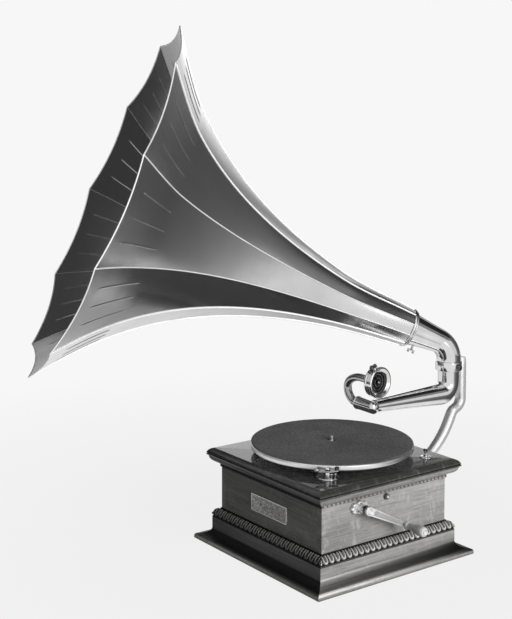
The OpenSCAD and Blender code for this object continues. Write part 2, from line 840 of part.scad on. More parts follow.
// A strip wound in a flat spiral between the arbor's hub and the barrel's wall
module mainspring() {
    turns = 6;
    steps = 20 * turns;
    strip_t = 1.4;
    inside = arbor_hub_r + 1.5;
    outside = barrel_fit_r - barrel_t - strip_t - 0.6;
    side_gap = 1.5;
    function coil_r(k) = inside + (outside - inside) * k / steps;
    color(steel) translate([barrel_at[0], barrel_at[1], barrel_z + barrel_t + side_gap])
        linear_extrude(barrel_top - cover_t - barrel_z - barrel_t - 2 * side_gap)
            polygon(concat([for (k = [0 : steps]) polar(coil_r(k), 360 * turns * k / steps)],
                [for (k = [steps : -1 : 0]) polar(coil_r(k) + strip_t, 360 * turns * k / steps)]));
}

module winding_arbor() {
    hub_gap = 1;
    color(steel) translate([barrel_at[0], barrel_at[1], 0]) {
        translate([0, 0, low_plate_z + 1])
            cylinder(h = top_plate_z + plate_thick - low_plate_z - 2, r = arbor_r);
        translate([0, 0, barrel_z + barrel_t + hub_gap])
            cylinder(h = barrel_top - cover_t - barrel_z - barrel_t - 2 * hub_gap, r = arbor_hub_r);
    }
}

// Straight bevel teeth that run towards the point where the two axes cross
module bevel(teeth, reach, far_r, bore_r) {
    cone = atan(far_r / reach);
    spread = atan(bevel_module / norm([reach, far_r]));
    tall = bevel_face * cos(cone);
    difference() {
        linear_extrude(tall, scale = (reach - tall) / reach)
            polygon(gear_outline(teeth, reach * tan(cone - 1.25 * spread), reach * tan(cone + 0.9 * spread)));
        translate([0, 0, -over]) cylinder(h = tall + 2 * over, r = bore_r);
    }
}

module winding_wheel() {
    color(brass) translate([barrel_at[0], barrel_at[1], bevel_base_z]) {
        difference() {
            cylinder(h = bevel_base_h, r = bevel_wheel_r - 4);
            translate([0, 0, -over]) cylinder(h = bevel_base_h + 2 * over, r = arbor_r + fit_gap);
        }
        translate([0, 0, bevel_base_h])
            bevel(bevel_wheel_teeth, bevel_pinion_r, bevel_wheel_r, arbor_r + fit_gap);
    }
}

module winding_pinion() {
    color(steel) translate([barrel_at[0] + bevel_wheel_r, -crank_front, crank_z]) rotate([0, -90, 0])
        rotate(180 / bevel_pinion_teeth)
            bevel(bevel_pinion_teeth, bevel_wheel_r, bevel_pinion_r, winding_r + fit_gap);
}

crank_x = box_r + crank_out;

module winding_shaft() {
    shaft_from = barrel_at[0] + bevel_wheel_r - bevel_face * cos(atan(bevel_pinion_r / bevel_wheel_r));
    collar_len = 5;
    color(steel) translate([0, -crank_front, crank_z]) rotate([0, 90, 0]) {
        translate([0, 0, shaft_from]) cylinder(h = crank_x + crank_arm_t / 2 - shaft_from, r = winding_r);
        translate([0, 0, inner_r - move_gap - collar_len]) cylinder(h = collar_len, r = winding_r + 3);
    }
}

// The crank arm's own plane: along the arm, across it, and out from the cabinet
module on_crank() {
    translate([crank_x, -crank_front, crank_z]) rotate([-crank_drop, 0, 0]) rotate([90, 0, 90]) children();
}

module crank_arm() {
    hub_len = 12;
    boss_r = winding_r + 3.5;
    color(nickel) on_crank() difference() {
        union() {
            translate([0, 0, -crank_arm_t / 2]) linear_extrude(crank_arm_t) union() {
                polygon([[0, -crank_arm_w / 2], [crank_throw, -crank_tip_w / 2],
                    [crank_throw, crank_tip_w / 2], [0, crank_arm_w / 2]]);
                circle(crank_arm_w / 2);
                translate([crank_throw, 0]) circle(crank_tip_w / 2);
            }
            translate([0, 0, -hub_len + crank_arm_t / 2]) cylinder(h = hub_len, r = boss_r);
            translate([crank_throw, 0, 0]) cylinder(h = crank_arm_t / 2 + grip_len + 1, r = grip_pin_r);
            translate([crank_throw, 0, crank_arm_t / 2 + grip_len + move_gap])
                cylinder(h = 1.5, r = grip_pin_r + 1.5);
        }
        translate([0, 0, -hub_len]) cylinder(h = 2 * hub_len, r = winding_r + fit_gap);
    }
}

// A turned grip: a ferrule with a bead, a waist and a long swelling
module crank_grip() {
    waist = 0.2 * grip_len;
    belly = 0.62 * grip_len;
    color(dark_oak) on_crank() translate([crank_throw, 0, crank_arm_t / 2 + move_gap / 2])
        rotate_extrude() difference() {
            union() {
                square([grip_r * 0.62, grip_len]);
                square([grip_r * 0.74, waist]);
                translate([0, waist * 0.5]) intersection() {
                    translate([grip_r * 0.74, 0]) circle(waist * 0.3);
                    translate([0, -waist]) square([grip_r, 2 * waist]);
                }
                intersection() {
                    translate([grip_r - grip_len, belly]) circle(grip_len);
                    translate([0, waist]) square([grip_r, grip_len - waist]);
                }
            }
            translate([0, -over]) square([grip_pin_r + run_gap, grip_len + 2 * over]);
        }
}

module governor_wheel() {
    lead_angle = atan(worm_lead / (2 * PI * worm_r));
    twist = worm_wheel_h * tan(lead_angle) / worm_wheel_r * 180 / PI;
    color(brass) translate([0, 0, gov_z]) difference() {
        translate([0, 0, -worm_wheel_h / 2]) rotate(-twist / 2 + 90 + 90 / worm_wheel_teeth)
            linear_extrude(worm_wheel_h, twist = -twist, slices = 2, $fn = 8)
                polygon(gear_outline(worm_wheel_teeth, worm_wheel_r - 1.3 * worm_module,
                    worm_wheel_r + 0.85 * worm_module));
        translate([0, 0, -worm_wheel_h]) cylinder(h = 2 * worm_wheel_h, r = spindle_r + fit_gap);
    }
}

// The governor's shaft and worm lie along X
module on_governor() {
    translate([0, gov_y, gov_z]) rotate([0, 90, 0]) children();
}

module governor_worm() {
    thread_root = 55 / worm_starts;
    thread_tip = 24 / worm_starts;
    color(steel) on_governor() {
        translate([0, 0, gov_left - gov_post_w / 2 - 2])
            cylinder(h = gov_right - gov_left + gov_post_w + 4, r = gov_shaft_r);
        difference() {
            translate([0, 0, -worm_len / 2]) rotate(-180 * worm_len / worm_lead)
                linear_extrude(worm_len, twist = -360 * worm_len / worm_lead, slices = 28, $fn = 8)
                    polygon([for (k = [0 : worm_starts - 1]) let (a = 360 * k / worm_starts) each
                        [polar(worm_r - 1.2 * worm_module, a - 2 * thread_root),
                         polar(worm_r + 0.8 * worm_module, a - thread_tip),
                         polar(worm_r + 0.8 * worm_module, a + thread_tip),
                         polar(worm_r - 1.2 * worm_module, a + 2 * thread_root)]]);
            translate([0, 0, -worm_len]) cylinder(h = 2 * worm_len, r = gov_shaft_r - 0.5);
        }
        translate([0, 0, gov_hub_x[0]]) cylinder(h = gov_hub_w, r = gov_hub_r);
    }
}

module governor_springs() {
    color(steel) on_governor() for (k = [0 : 2]) rotate(120 * k)
        translate([gov_hub_r + fit_gap, -spring_w / 2, gov_hub_x[0]])
            cube([spring_t, spring_w, gov_hub_x[1] + gov_hub_w - gov_hub_x[0]]);
}

module governor_weights() {
    seat = gov_hub_r + fit_gap + spring_t + fit_gap;
    color(brass) on_governor() for (k = [0 : 2]) rotate(120 * k)
        translate([seat, 0, (gov_hub_x[0] + gov_hub_x[1] + gov_hub_w) / 2]) difference() {
            translate([weight_r * 0.8, 0, 0]) sphere(weight_r);
            translate([-2 * weight_r, -weight_r, -weight_r]) cube(2 * weight_r);
        }
}

module governor_disc() {
    color(brass) on_governor() translate([0, 0, gov_hub_x[1]]) difference() {
        union() {
            cylinder(h = gov_hub_w, r = gov_hub_r);
            translate([0, 0, gov_hub_w]) cylinder(h = gov_disc_t, r = gov_disc_r);
        }
        translate([0, 0, -over]) cylinder(h = gov_hub_w + gov_disc_t + 2 * over, r = gov_shaft_r + fit_gap);
    }
}

// A stem through the board with a winged head, and a cam below that grows over three quarters of a turn
module speed_screw() {
    stem_up = 13;
    wing_w = 10;
    wing_h = 5;
    color(nickel) translate([speed_at, speed_at, 0]) {
        translate([0, 0, lever_z - 2]) cylinder(h = top_z + stem_up - lever_z + 2, r = speed_stem_r);
        translate([0, 0, lever_z - 2]) linear_extrude(lever_t + 4)
            polygon([for (k = [0 : 18]) polar(cam_r + cam_rise * k / 18, 180 - 270 * k / 18)]);
        translate([0, 0, top_z + 2.5 + move_gap]) cylinder(h = 3, r = speed_stem_r + 2);
        translate([-wing_w / 2, -1.5, top_z + stem_up - wing_h / 2]) cube([wing_w, 3, wing_h]);
    }
}

// One arm bears on the governor's disc, the other follows the cam
module regulator_lever() {
    pad_at = [gov_hub_x[1] + gov_hub_w + gov_disc_t + move_gap + lever_w / 2, gov_y + gov_disc_r * 0.7];
    cam_side = [speed_at - cam_r - 2 * move_gap - lever_w / 2, speed_at];
    color(brass) difference() {
        translate([0, 0, lever_z]) linear_extrude(lever_t) union() {
            translate(lever_at) circle(lever_hub_r);
            lever_bar(lever_at, pad_at);
            lever_bar(lever_at, cam_side);
        }
        translate([lever_at[0], lever_at[1], lever_z - over])
            cylinder(h = lever_t + 2 * over, r = lever_stud_r + run_gap);
    }
}

module lever_bar(from, to) {
    run = to - from;
    translate(from) rotate(atan2(run[1], run[0])) translate([0, -lever_w / 2]) square([norm(run), lever_w]);
    translate(to) circle(lever_w / 2);
}

// Handle and pad of the brake, placed from its pivot
brake_handle = [-11, -15];
brake_pad_r = 4;
brake_pad_at = polar(platter_r + brake_pad_r + move_gap, -brake_dir + 6);
brake_ball_r = 4.5;

module brake_lever() {
    bar_w = 6;
    pad_run = brake_pad_at - brake_pivot;
    color(nickel) difference() {
        union() {
            translate([brake_pivot[0], brake_pivot[1], brake_z]) {
                cylinder(h = brake_t, r = brake_post_r + 2.5);
                rotate(atan2(brake_handle[1], brake_handle[0])) translate([0, -bar_w / 2, 0])
                    cube([norm(brake_handle), bar_w, brake_t]);
                translate([brake_handle[0], brake_handle[1], brake_t / 2]) sphere(brake_ball_r);
                rotate(atan2(pad_run[1], pad_run[0])) translate([0, -bar_w / 2, 0])
                    cube([norm(pad_run), bar_w, brake_t]);
            }
            translate([brake_pad_at[0], brake_pad_at[1], brake_z]) cylinder(h = brake_t, r = brake_pad_r - 0.5);
        }
        translate([brake_pivot[0], brake_pivot[1], brake_z - over])
            cylinder(h = brake_t + 2 * over, r = brake_post_r + run_gap);
        cylinder(h = 2 * top_z, r = platter_r + move_gap);
    }
}

module brake_pad() {
    color(leather) translate([brake_pad_at[0], brake_pad_at[1], brake_z + brake_t]) cylinder(h = 5, r = brake_pad_r);
}

// Along the tone arm, with the column's axis at the origin
module on_arm() {
    translate([0, column_y, 0]) rotate([0, 0, -90 - arm_turn]) children();
}

// The arm's path as a solid of the given radii: down from the collar, round the bend and out to the knuckle
module arm_path(r, tip_r, top) {
    translate([0, 0, arm_z + arm_bend_r]) cylinder(h = top - arm_z - arm_bend_r, r = r);
    translate([arm_bend_r, 0, arm_z + arm_bend_r]) rotate([90, 0, 0]) rotate([0, 0, 180])
        rotate_extrude(angle = 90) translate([arm_bend_r, 0]) circle(r);
    translate([arm_bend_r, 0, arm_z]) rotate([0, 90, 0]) cylinder(h = knuckle_x - arm_bend_r, r1 = r, r2 = tip_r);
}

module tone_arm() {
    flange_h = 2.5;
    seat = collar_seat + run_gap;
    color(nickel) on_arm() difference() {
        union() {
            arm_path(arm_r, arm_tip_r, seat + flange_h);
            translate([0, 0, seat]) cylinder(h = flange_h, r = collar_wide_r - move_gap);
        }
        arm_path(arm_r - tube_t, arm_tip_r - tube_t, seat + flange_h + over);
        translate([knuckle_x, 0, arm_z]) rotate([90, 0, 0])
            cylinder(h = 8 * knuckle_r, r = knuckle_r + fit_gap, center = true);
    }
}

// The cross tube at the arm's end, closed by a rounded cap and open to the gooseneck
module arm_knuckle() {
    color(nickel) on_arm() translate([knuckle_x, 0, arm_z]) rotate([90, 0, 0]) difference() {
        union() {
            translate([0, 0, -knuckle_end + 4]) cylinder(h = knuckle_end + knuckle_left - 4, r = knuckle_r);
            translate([0, 0, -knuckle_end + 4]) intersection() {
                sphere(knuckle_r);
                translate([0, 0, -knuckle_r]) cylinder(h = knuckle_r, r = knuckle_r);
            }
        }
        translate([0, 0, -neck_r]) cylinder(h = knuckle_left + neck_r + over, r = neck_r + run_gap);
        rotate([0, -90, 0]) cylinder(h = 2 * knuckle_r, r = neck_r - neck_t);
    }
}

// The gooseneck's path: in the knuckle, round the bend and back to the sound box
module neck_path(r, ends) {
    translate([knuckle_x, 0, arm_z]) rotate([90, 0, 0])
        translate([0, 0, neck_in - ends]) cylinder(h = neck_left - neck_in + ends, r = r);
    translate([knuckle_x, -neck_left, arm_z + neck_bend_r]) rotate([90, 0, 90]) rotate([0, 0, 90])
        rotate_extrude(angle = 180) translate([neck_bend_r, 0]) circle(r);
    translate([knuckle_x, 0, arm_z + neck_up]) rotate([90, 0, 0])
        translate([0, 0, box_back + 3 - ends]) cylinder(h = neck_left - box_back - 3 + ends, r = r);
}

module gooseneck() {
    color(nickel) on_arm() difference() {
        neck_path(neck_r, 0);
        neck_path(neck_r - neck_t, over);
    }
}

// In the sound box, +Z is its axis towards the front ring
module in_sound_box() {
    on_arm() translate([knuckle_x, -box_back, arm_z + neck_up]) rotate([0, 0, box_toe]) rotate([-90, 0, 0]) children();
}

// Room that the needle bar takes in the shell and the ring
bar_w = 4;
bar_t = 2.4;
module bar_room(room) {
    rotate(-chuck_dir) translate([0, -bar_w / 2 - room, ring_z - bar_t - room])
        cube([box_ring_r + over, bar_w + 2 * room, box_depth]);
}

ring_z = box_depth - ring_t;

module sound_box_shell() {
    back_t = 2.5;
    wall = 2.5;
    boss_r = neck_r + 3.5;
    color(nickel) difference() {
        in_sound_box() difference() {
            union() {
                cylinder(h = ring_z, r = box_shell_r);
                translate([0, 0, -7]) cylinder(h = 7, r = boss_r);
            }
            translate([0, 0, back_t]) cylinder(h = box_depth, r = box_shell_r - wall);
            bar_room(0.4);
        }
        on_arm() translate([knuckle_x, 0, arm_z + neck_up]) rotate([90, 0, 0])
            translate([0, 0, box_back - 4]) cylinder(h = neck_left, r = neck_r + fit_gap);
    }
}

module sound_box_ring() {
    color(nickel) in_sound_box() translate([0, 0, ring_z]) difference() {
        cylinder(h = ring_t, r = box_ring_r);
        translate([0, 0, -over]) cylinder(h = ring_t + 2 * over, r = ring_hole_r);
        translate([0, 0, -ring_z]) bar_room(0.4);
    }
}

module diaphragm() {
    disc_t = 0.6;
    below_bar = 1.6;
    color(mica) in_sound_box() translate([0, 0, ring_z - bar_t - below_bar - disc_t])
        cylinder(h = disc_t, r = box_shell_r - 2.5 - fit_gap);
}

// A bar from the needle's chuck at the rim to the middle of the diaphragm
module needle_bar() {
    below_bar = 1.6;
    chuck_from = box_ring_r + 0.4;
    color(steel) in_sound_box() difference() {
        union() {
            rotate(-chuck_dir) translate([0, -bar_w / 2, ring_z - bar_t]) cube([chuck_from + 1, bar_w, bar_t]);
            translate([0, 0, ring_z - bar_t - below_bar]) cylinder(h = below_bar + bar_t, r = 2.6);
            rotate(-chuck_dir) translate([chuck_from, 0, ring_z - bar_t / 2]) rotate([0, 90, 0])
                cylinder(h = chuck_len - 2, r = chuck_r);
        }
        rotate(-chuck_dir) translate([chuck_from + chuck_len - 2 - needle_depth, 0, ring_z - bar_t / 2])
            rotate([0, 90, 0]) cylinder(h = needle_depth + over, r = needle_r);
    }
}

// The thumbscrew that clamps a needle, from the front of the chuck
module needle_screw() {
    at = box_ring_r + 0.4 + (chuck_len - 2) / 2;
    color(nickel) in_sound_box() difference() {
        rotate(-chuck_dir) translate([at, 0, ring_z - bar_t / 2]) {
            cylinder(h = chuck_r + 5, r = 1.6);
            translate([0, 0, chuck_r + 2]) cylinder(h = 5, r = 3.4);
        }
        rotate(-chuck_dir) translate([box_ring_r, 0, ring_z - bar_t / 2]) rotate([0, 90, 0])
            cylinder(h = chuck_len, r = chuck_r + fit_gap);
    }
}

// Along the horn's bearing from the column, with +X towards the horn
module on_elbow() {
    translate([0, column_y, 0]) rotate([0, 0, -90 - horn_turn]) children();
}

// Along the horn's axis from its throat: +Z onward, +X down, +Y to the crank side
module on_horn() {
    on_elbow() translate([throat_x, 0, throat_z]) rotate([0, elbow_turn, 0]) children();
}

ferrule_gap = 0.1;
spigot_len = 12;

// The elbow's path as a solid: up from the collar, round the bend and flaring to the horn, with a low
// bead at each joint
module elbow_path(r, mouth_r, low, past) {
    bead = 0.4;
    bead_w = 2.5;
    translate([0, 0, low]) cylinder(h = elbow_z - low, r = r);
    translate([0, 0, elbow_z - bead_w + 0.5]) cylinder(h = bead_w, r = r + bead);
    translate([elbow_bend_r, 0, elbow_z]) rotate([90, 0, 0]) rotate([0, 0, 180 - elbow_turn])
        rotate_extrude(angle = elbow_turn) translate([elbow_bend_r, 0]) circle(r);
    translate([elbow_bend_r * (1 - cos(elbow_turn)), 0, elbow_z + elbow_bend_r * sin(elbow_turn)])
        rotate([0, elbow_turn, 0]) {
            translate([0, 0, -over]) cylinder(h = bead_w, r = r + bead);
            cylinder(h = elbow_run, r1 = r, r2 = mouth_r);
            translate([0, 0, elbow_run - over]) cylinder(h = past + over, r = mouth_r);
        }
}

module elbow() {
    spigot_low = collar_top - 6;
    mouth_r = min(elbow_mouth_r, ferrule_r - 1.5 - ferrule_gap);
    color(nickel) on_elbow() difference() {
        union() {
            elbow_path(elbow_r, mouth_r, collar_top + run_gap, spigot_len);
            translate([0, 0, spigot_low]) cylinder(h = elbow_z - spigot_low, r = collar_wide_r);
        }
        elbow_path(elbow_r - 2 * tube_t, mouth_r - tube_t, spigot_low - over, spigot_len + over);
    }
}

// The ring that the panels are soldered to, with a proud bead at its open end
module throat_ferrule() {
    bead_r = 3.4;
    color(nickel) on_horn() rotate_extrude() difference() {
        union() {
            translate([ferrule_r - 1.5, 0]) square([1.5, ferrule_len]);
            translate([ferrule_r + 1.6, bead_r + 1.5]) circle(bead_r);
        }
        translate([0, -over]) square([ferrule_r - 1.5, ferrule_len + 2 * over]);
    }
}

panel_start = 9 / horn_len;

// One panel as a closed sheet: the outer grid of points, then the inner grid one sheet below
module horn_panel() {
    rows = len(stations);
    cols = len(across);
    points = [for (drop = [0, sheet_t], i = [0 : rows - 1], w = across)
        let (t = max(stations[i], panel_start), p = panel_point(t, w, rib_lift(i, w) - drop)) p];
    polyhedron(points, concat(grid_faces(rows, cols, 0, false), grid_faces(rows, cols, rows * cols, true),
        edge_faces(grid_edge(rows, cols), rows * cols)));
}

module horn_panels() {
    color(nickel) on_horn() for (k = [0 : panel_count - 1])
        rotate(seam_turn + (2 * k + 1) * half_panel) horn_panel();
}

// A seam bead follows the meeting line of two panels and stands proud of them
module seam_bead() {
    sides = 6;
    section = [[-seam_w / 2, -sheet_t - 0.6], [seam_w / 2, -sheet_t - 0.6], [seam_w / 2, seam_h * 0.4],
        [seam_w / 4, seam_h], [-seam_w / 4, seam_h], [-seam_w / 2, seam_h * 0.4]];
    rows = len(stations);
    short = (rim_wire_r + seam_gap) / horn_len;
    points = [for (i = [0 : rows - 1], c = section)
        let (t = min(max(stations[i], panel_start), 1 - short), s = t * horn_len, n = outward(flare_slope(s)))
        [flare_r(s) + c[1] * n[0], c[0], s + c[1] * n[1]]];
    polyhedron(points, concat(tube_faces(rows, sides, false), cap_fan(0, sides, true),
        cap_fan((rows - 1) * sides, sides, false)));
}

module horn_seams() {
    color(nickel) on_horn() for (k = [0 : panel_count - 1]) rotate(seam_turn + 2 * k * half_panel) seam_bead();
}

// The wire rolled into the rim, a closed loop just past the panels' edges
module horn_rim_wire() {
    sides = 6;
    gap = 0.15;
    loop = [for (w = across) if (w < 1) w];
    function rim_ring(k, w) =
        let (s = rim_s(w), tip = w == -1, flat = tip ? 1 : cos(half_panel), slope = flare_slope(s) * flat,
             n = outward(slope), g = onward(slope), turn = (2 * k + (tip ? 0 : 1)) * half_panel,
             side = tip ? 0 : w * flare_r(s) * sin(half_panel))
        [for (j = [0 : sides - 1])
            let (up = rim_wire_r * sin(360 * j / sides), on = rim_wire_r * (1 + cos(360 * j / sides)) + gap,
                 out = flare_r(s) * flat + up * n[0] + on * g[0], along = s + up * n[1] + on * g[1])
            [out * cos(turn) - side * sin(turn), out * sin(turn) + side * cos(turn), along]];
    points = [for (k = [0 : panel_count - 1], w = loop) each rim_ring(k, w)];
    color(nickel) on_horn() rotate(seam_turn)
        polyhedron(points, tube_faces(panel_count * len(loop), sides, true));
}

// The winged screw under the elbow's mouth that holds the horn on
module horn_thumbscrew() {
    stem_r = 2;
    stem_len = 9;
    wing = 12;
    back = 20;
    mouth_r = min(elbow_mouth_r, ferrule_r - 1.5 - ferrule_gap);
    at_r = mouth_r - (mouth_r - elbow_r) * (back - stem_r) / elbow_run + fit_gap;
    color(steel) on_horn() translate([at_r, 0, -back]) rotate([0, 90, 0]) {
        cylinder(h = stem_len, r = stem_r);
        translate([0, 0, stem_len - 3]) rotate([0, 0, 90]) translate([-1.2, -wing / 2, 0]) cube([2.4, wing, 6]);
    }
}

cabinet_front();
cabinet_back();
cabinet_left();
cabinet_right();
plinth_moulding();
carved_moulding();
cornice_moulding();
motor_board();
bottom_board();
name_plate();
side_stud();
motor_top_plate();
motor_bottom_plate();
motor_pillars();
governor_posts();
crank_escutcheon();
brake_base();
speed_base();
bracket();
bracket_collar();
fixing_screws();
platter();
turntable_felt();
spindle();
spindle_pinion();
governor_wheel();
mid_arbor();
mid_wheel();
spring_barrel();
barrel_cover();
barrel_gear();
mainspring();
winding_arbor();
winding_wheel();
winding_shaft();
winding_pinion();
crank_arm();
crank_grip();
governor_worm();
governor_weights();
governor_springs();
governor_disc();
speed_screw();
regulator_lever();
brake_lever();
brake_pad();
tone_arm();
arm_knuckle();
gooseneck();
sound_box_shell();
sound_box_ring();
diaphragm();
needle_bar();
needle_screw();
elbow();
throat_ferrule();
horn_panels();
horn_seams();
horn_rim_wire();
horn_thumbscrew();
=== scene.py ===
import math

import bmesh
import bpy
import numpy as np
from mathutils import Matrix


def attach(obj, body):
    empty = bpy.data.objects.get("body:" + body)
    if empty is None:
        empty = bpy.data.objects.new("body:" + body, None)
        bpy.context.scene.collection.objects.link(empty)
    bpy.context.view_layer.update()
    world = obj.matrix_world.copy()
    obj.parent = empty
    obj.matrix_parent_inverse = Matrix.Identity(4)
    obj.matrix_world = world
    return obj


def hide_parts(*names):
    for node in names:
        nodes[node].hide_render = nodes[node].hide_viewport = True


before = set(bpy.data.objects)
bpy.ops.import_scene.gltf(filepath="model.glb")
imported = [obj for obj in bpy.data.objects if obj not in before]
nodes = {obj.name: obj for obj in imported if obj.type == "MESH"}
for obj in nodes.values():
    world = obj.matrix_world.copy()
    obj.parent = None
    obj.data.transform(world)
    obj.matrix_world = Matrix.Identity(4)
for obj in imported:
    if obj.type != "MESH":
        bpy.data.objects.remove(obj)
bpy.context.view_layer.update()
print("frame loaded:", len(nodes), "nodes")


# an object that holds this data, linked into the scene
def addObject(name, data):
    made = bpy.data.objects.new(name, data)
    bpy.context.collection.objects.link(made)
    return made


# the camera stands to the right of the plate side, a little above the horn's axis
cameraSet = {"place": (1.7631, -1.5011, 0.8668), "yaw": 54.101, "pitch": 3.447, "sensor": 36,
             "lens": 72.81, "shift": (0.0345, -0.2423), "farthest": 60}


# a level camera turned by yaw, tipped down by pitch, its picture shifted as the photo's is
def setCamera(s):
    data = bpy.data.cameras.new("photoCamera")
    data.sensor_fit = "AUTO"
    data.sensor_width = s["sensor"]
    data.lens = s["lens"]
    data.shift_x, data.shift_y = s["shift"]
    data.clip_end = s["farthest"]
    view = addObject("photoCamera", data)
    view.location = s["place"]
    view.rotation_euler = (math.radians(90 - s["pitch"]), 0, math.radians(s["yaw"]))
    bpy.context.scene.camera = view


setCamera(cameraSet)
bpy.context.scene.view_settings.view_transform = "Standard"
print("camera set")


# a 3 by 3 turn about one axis, in degrees
def turn(axis, angle):
    c, s = math.cos(math.radians(angle)), math.sin(math.radians(angle))
    rows = {"x": [[1, 0, 0], [0, c, -s], [0, s, c]],
            "y": [[c, 0, s], [0, 1, 0], [-s, 0, c]],
            "z": [[c, -s, 0], [s, c, 0], [0, 0, 1]]}
    return np.array(rows[axis])


# a spot is a turn and an origin in millimetres; within() puts one spot inside another
def within(spot, inner, origin):
    return spot[0] @ inner, spot[1] + spot[0] @ np.array(origin, float)


# points carried into a spot: turned, then moved
def placed(points, spot):
    return points @ spot[0].T + spot[1]


# an upright spot at a place
def standing(x, y, z=0):
    return np.eye(3), np.array([x, y, z], float)


# a spot moved along its own axes
def moved(spot, x, y, z):
    return within(spot, np.eye(3), (x, y, z))


# points turned about Z
def spun(points, angle):
    return points @ turn("z", angle).T


upright = standing(0, 0)
elbowSet = {"turn": 26.1, "rise": 23.8, "bend": 44, "low": 306.6, "foot": 315.5, "run": 60.5,
            "spigot": 11.5, "tubeR": 24.2, "mouthR": 33, "wall": 1.6, "widenFrom": 52, "footR": 22.7,
            "footTo": 5.8}
elbowLean = 90 - elbowSet["rise"]
leanSin, leanCos = math.sin(math.radians(elbowLean)), math.cos(math.radians(elbowLean))
throatX = elbowSet["bend"] * (1 - leanCos) + elbowSet["run"] * leanSin
throatZ = elbowSet["foot"] + elbowSet["bend"] * leanSin + elbowSet["run"] * leanCos
columnAt = np.array([0, 306.4, 0.0])
elbowSpot = (turn("z", -90 - elbowSet["turn"]), columnAt)
hornSpot = within(elbowSpot, turn("y", elbowLean), (throatX, 0, throatZ))
armSpot = (turn("z", -92.5), columnAt)
boxSpot = within(armSpot, turn("z", 10) @ turn("x", -90), (202, 5, 298))
crankSpot = (turn("x", -26) @ turn("z", 90) @ turn("x", 90), np.array([176, -64.4, 128.5]))


# faces of a grid of points, rows by columns, each way open or closed round
def sheet(points, wrapRows=False, wrapCols=False):
    rows, cols = points.shape[:2]
    i = np.arange(rows if wrapRows else rows - 1)[:, None]
    j = np.arange(cols if wrapCols else cols - 1)[None, :]
    i2, j2 = (i + 1) % rows, (j + 1) % cols
    quads = np.stack([i * cols + j, i * cols + j2, i2 * cols + j2, i2 * cols + j], -1)
    return points.reshape(-1, 3), quads.reshape(-1, 4).tolist()


# a tube of closed rings with a flat cap on its first and last ring
def tube(rings):
    points, faces = sheet(rings, wrapCols=True)
    rows, cols = rings.shape[:2]
    last = (rows - 1) * cols
    return points, faces + [list(range(cols)), list(range(last, last + cols))]


# two grids of one size, joined round their edge into a closed skin
def doubleSheet(outer, inner):
    rows, cols = outer.shape[:2]
    points, faces = sheet(outer)
    more, inside = sheet(inner)
    n = len(points)
    number = np.arange(n).reshape(rows, cols)
    edge = np.concatenate([number[0, :-1], number[:-1, -1], number[-1, :0:-1], number[:0:-1, 0]])
    after = np.roll(edge, -1)
    rim = np.stack([edge, after, after + n, edge + n], -1).tolist()
    return np.concatenate([points, more]), faces + (np.array(inside) + n).tolist() + rim


# corners of a polyline softened: each is a parabola between two points set back from it
def soften(points, radius, closed=False, steps=5):
    p = np.array(points, float)
    r = np.broadcast_to(np.array(radius, float), len(p))
    before, after = np.roll(p, 1, 0) - p, np.roll(p, -1, 0) - p
    la, lb = np.linalg.norm(before, axis=1), np.linalg.norm(after, axis=1)
    back = np.minimum(r, 0.48 * np.minimum(la, lb))[:, None]
    start, end = p + before / la[:, None] * back, p + after / lb[:, None] * back
    t = np.linspace(0, 1, steps)[None, :, None]
    curve = (1 - t) ** 2 * start[:, None] + 2 * t * (1 - t) * p[:, None] + t ** 2 * end[:, None]
    if not closed:
        curve[0], curve[-1] = p[0], p[-1]
    flat = curve.reshape(-1, p.shape[1])
    keep = np.r_[True, np.linalg.norm(np.diff(flat, axis=0), axis=1) > 1e-6]
    return flat[keep]


# angles round a full turn
def fullTurn(n):
    return np.linspace(0, 2 * np.pi, n, endpoint=False)


# a profile of (radius, height) turned about the spot's Z; a closed profile makes a ring
def turned(profile, spot=upright, around=64):
    p = np.array(profile, float)
    a = fullTurn(around)
    ring = np.stack([p[:, :1] * np.cos(a), p[:, :1] * np.sin(a), np.repeat(p[:, 1:2], around, 1)], -1)
    points, faces = sheet(ring, wrapRows=True, wrapCols=True)
    return placed(points, spot), faces


# a profile with softened corners, turned about the spot's Z
def lathe(points, soft, spot, around, closed=False, steps=3):
    return turned(soften(points, soft, closed, steps), spot, around)


# rings of a flat section carried along a path; side is the section's second axis
def carried(path, section, side, spot=upright):
    p = np.array(path, float)
    t = np.gradient(p, axis=0)
    t = t / np.linalg.norm(t, axis=1)[:, None]
    b = np.broadcast_to(np.array(side, float), p.shape)
    n = np.cross(b, t)
    sec = np.broadcast_to(section, (len(p),) + np.shape(section)[-2:])
    rings = p[:, None] + sec[..., :1] * n[:, None] + sec[..., 1:] * b[:, None]
    return placed(rings, spot)


# rings of points round a middle, one for each radius
def circle(radius, around=48):
    a = fullTurn(around)
    return np.atleast_1d(radius)[:, None, None] * np.stack([np.cos(a), np.sin(a)], -1)


# a pipe: the outer rings one way and the inner rings back, closed both ways
def pipe(path, radius, wall, side, spot=upright, around=48):
    outer = carried(path, circle(np.array(radius, float), around), side, spot)
    inner = carried(path, circle(np.array(radius, float) - wall, around), side, spot)
    return sheet(np.concatenate([outer, inner[::-1]]), True, True)


# the outline of a rectangle with round corners, as one closed loop
def roundedRect(halfW, halfH, corner, per=6):
    a = (np.linspace(0, 90, per)[None, :] + np.array([0, 90, 180, 270])[:, None]) * np.pi / 180
    cx = np.array([1, -1, -1, 1])[:, None] * (halfW - corner)
    cy = np.array([1, 1, -1, -1])[:, None] * (halfH - corner)
    return np.stack([cx + corner * np.cos(a), cy + corner * np.sin(a)], -1).reshape(-1, 2)


# a plate: rounded rectangles at each (inset, height) step, with both ends capped
def plateSkin(halfW, halfH, corner, steps, spot, per=6):
    loops = [np.c_[roundedRect(halfW - d, halfH - d, max(corner - d, 0.05), per),
                   np.full(4 * per, h)] for d, h in steps]
    return tube(placed(np.array(loops), spot))


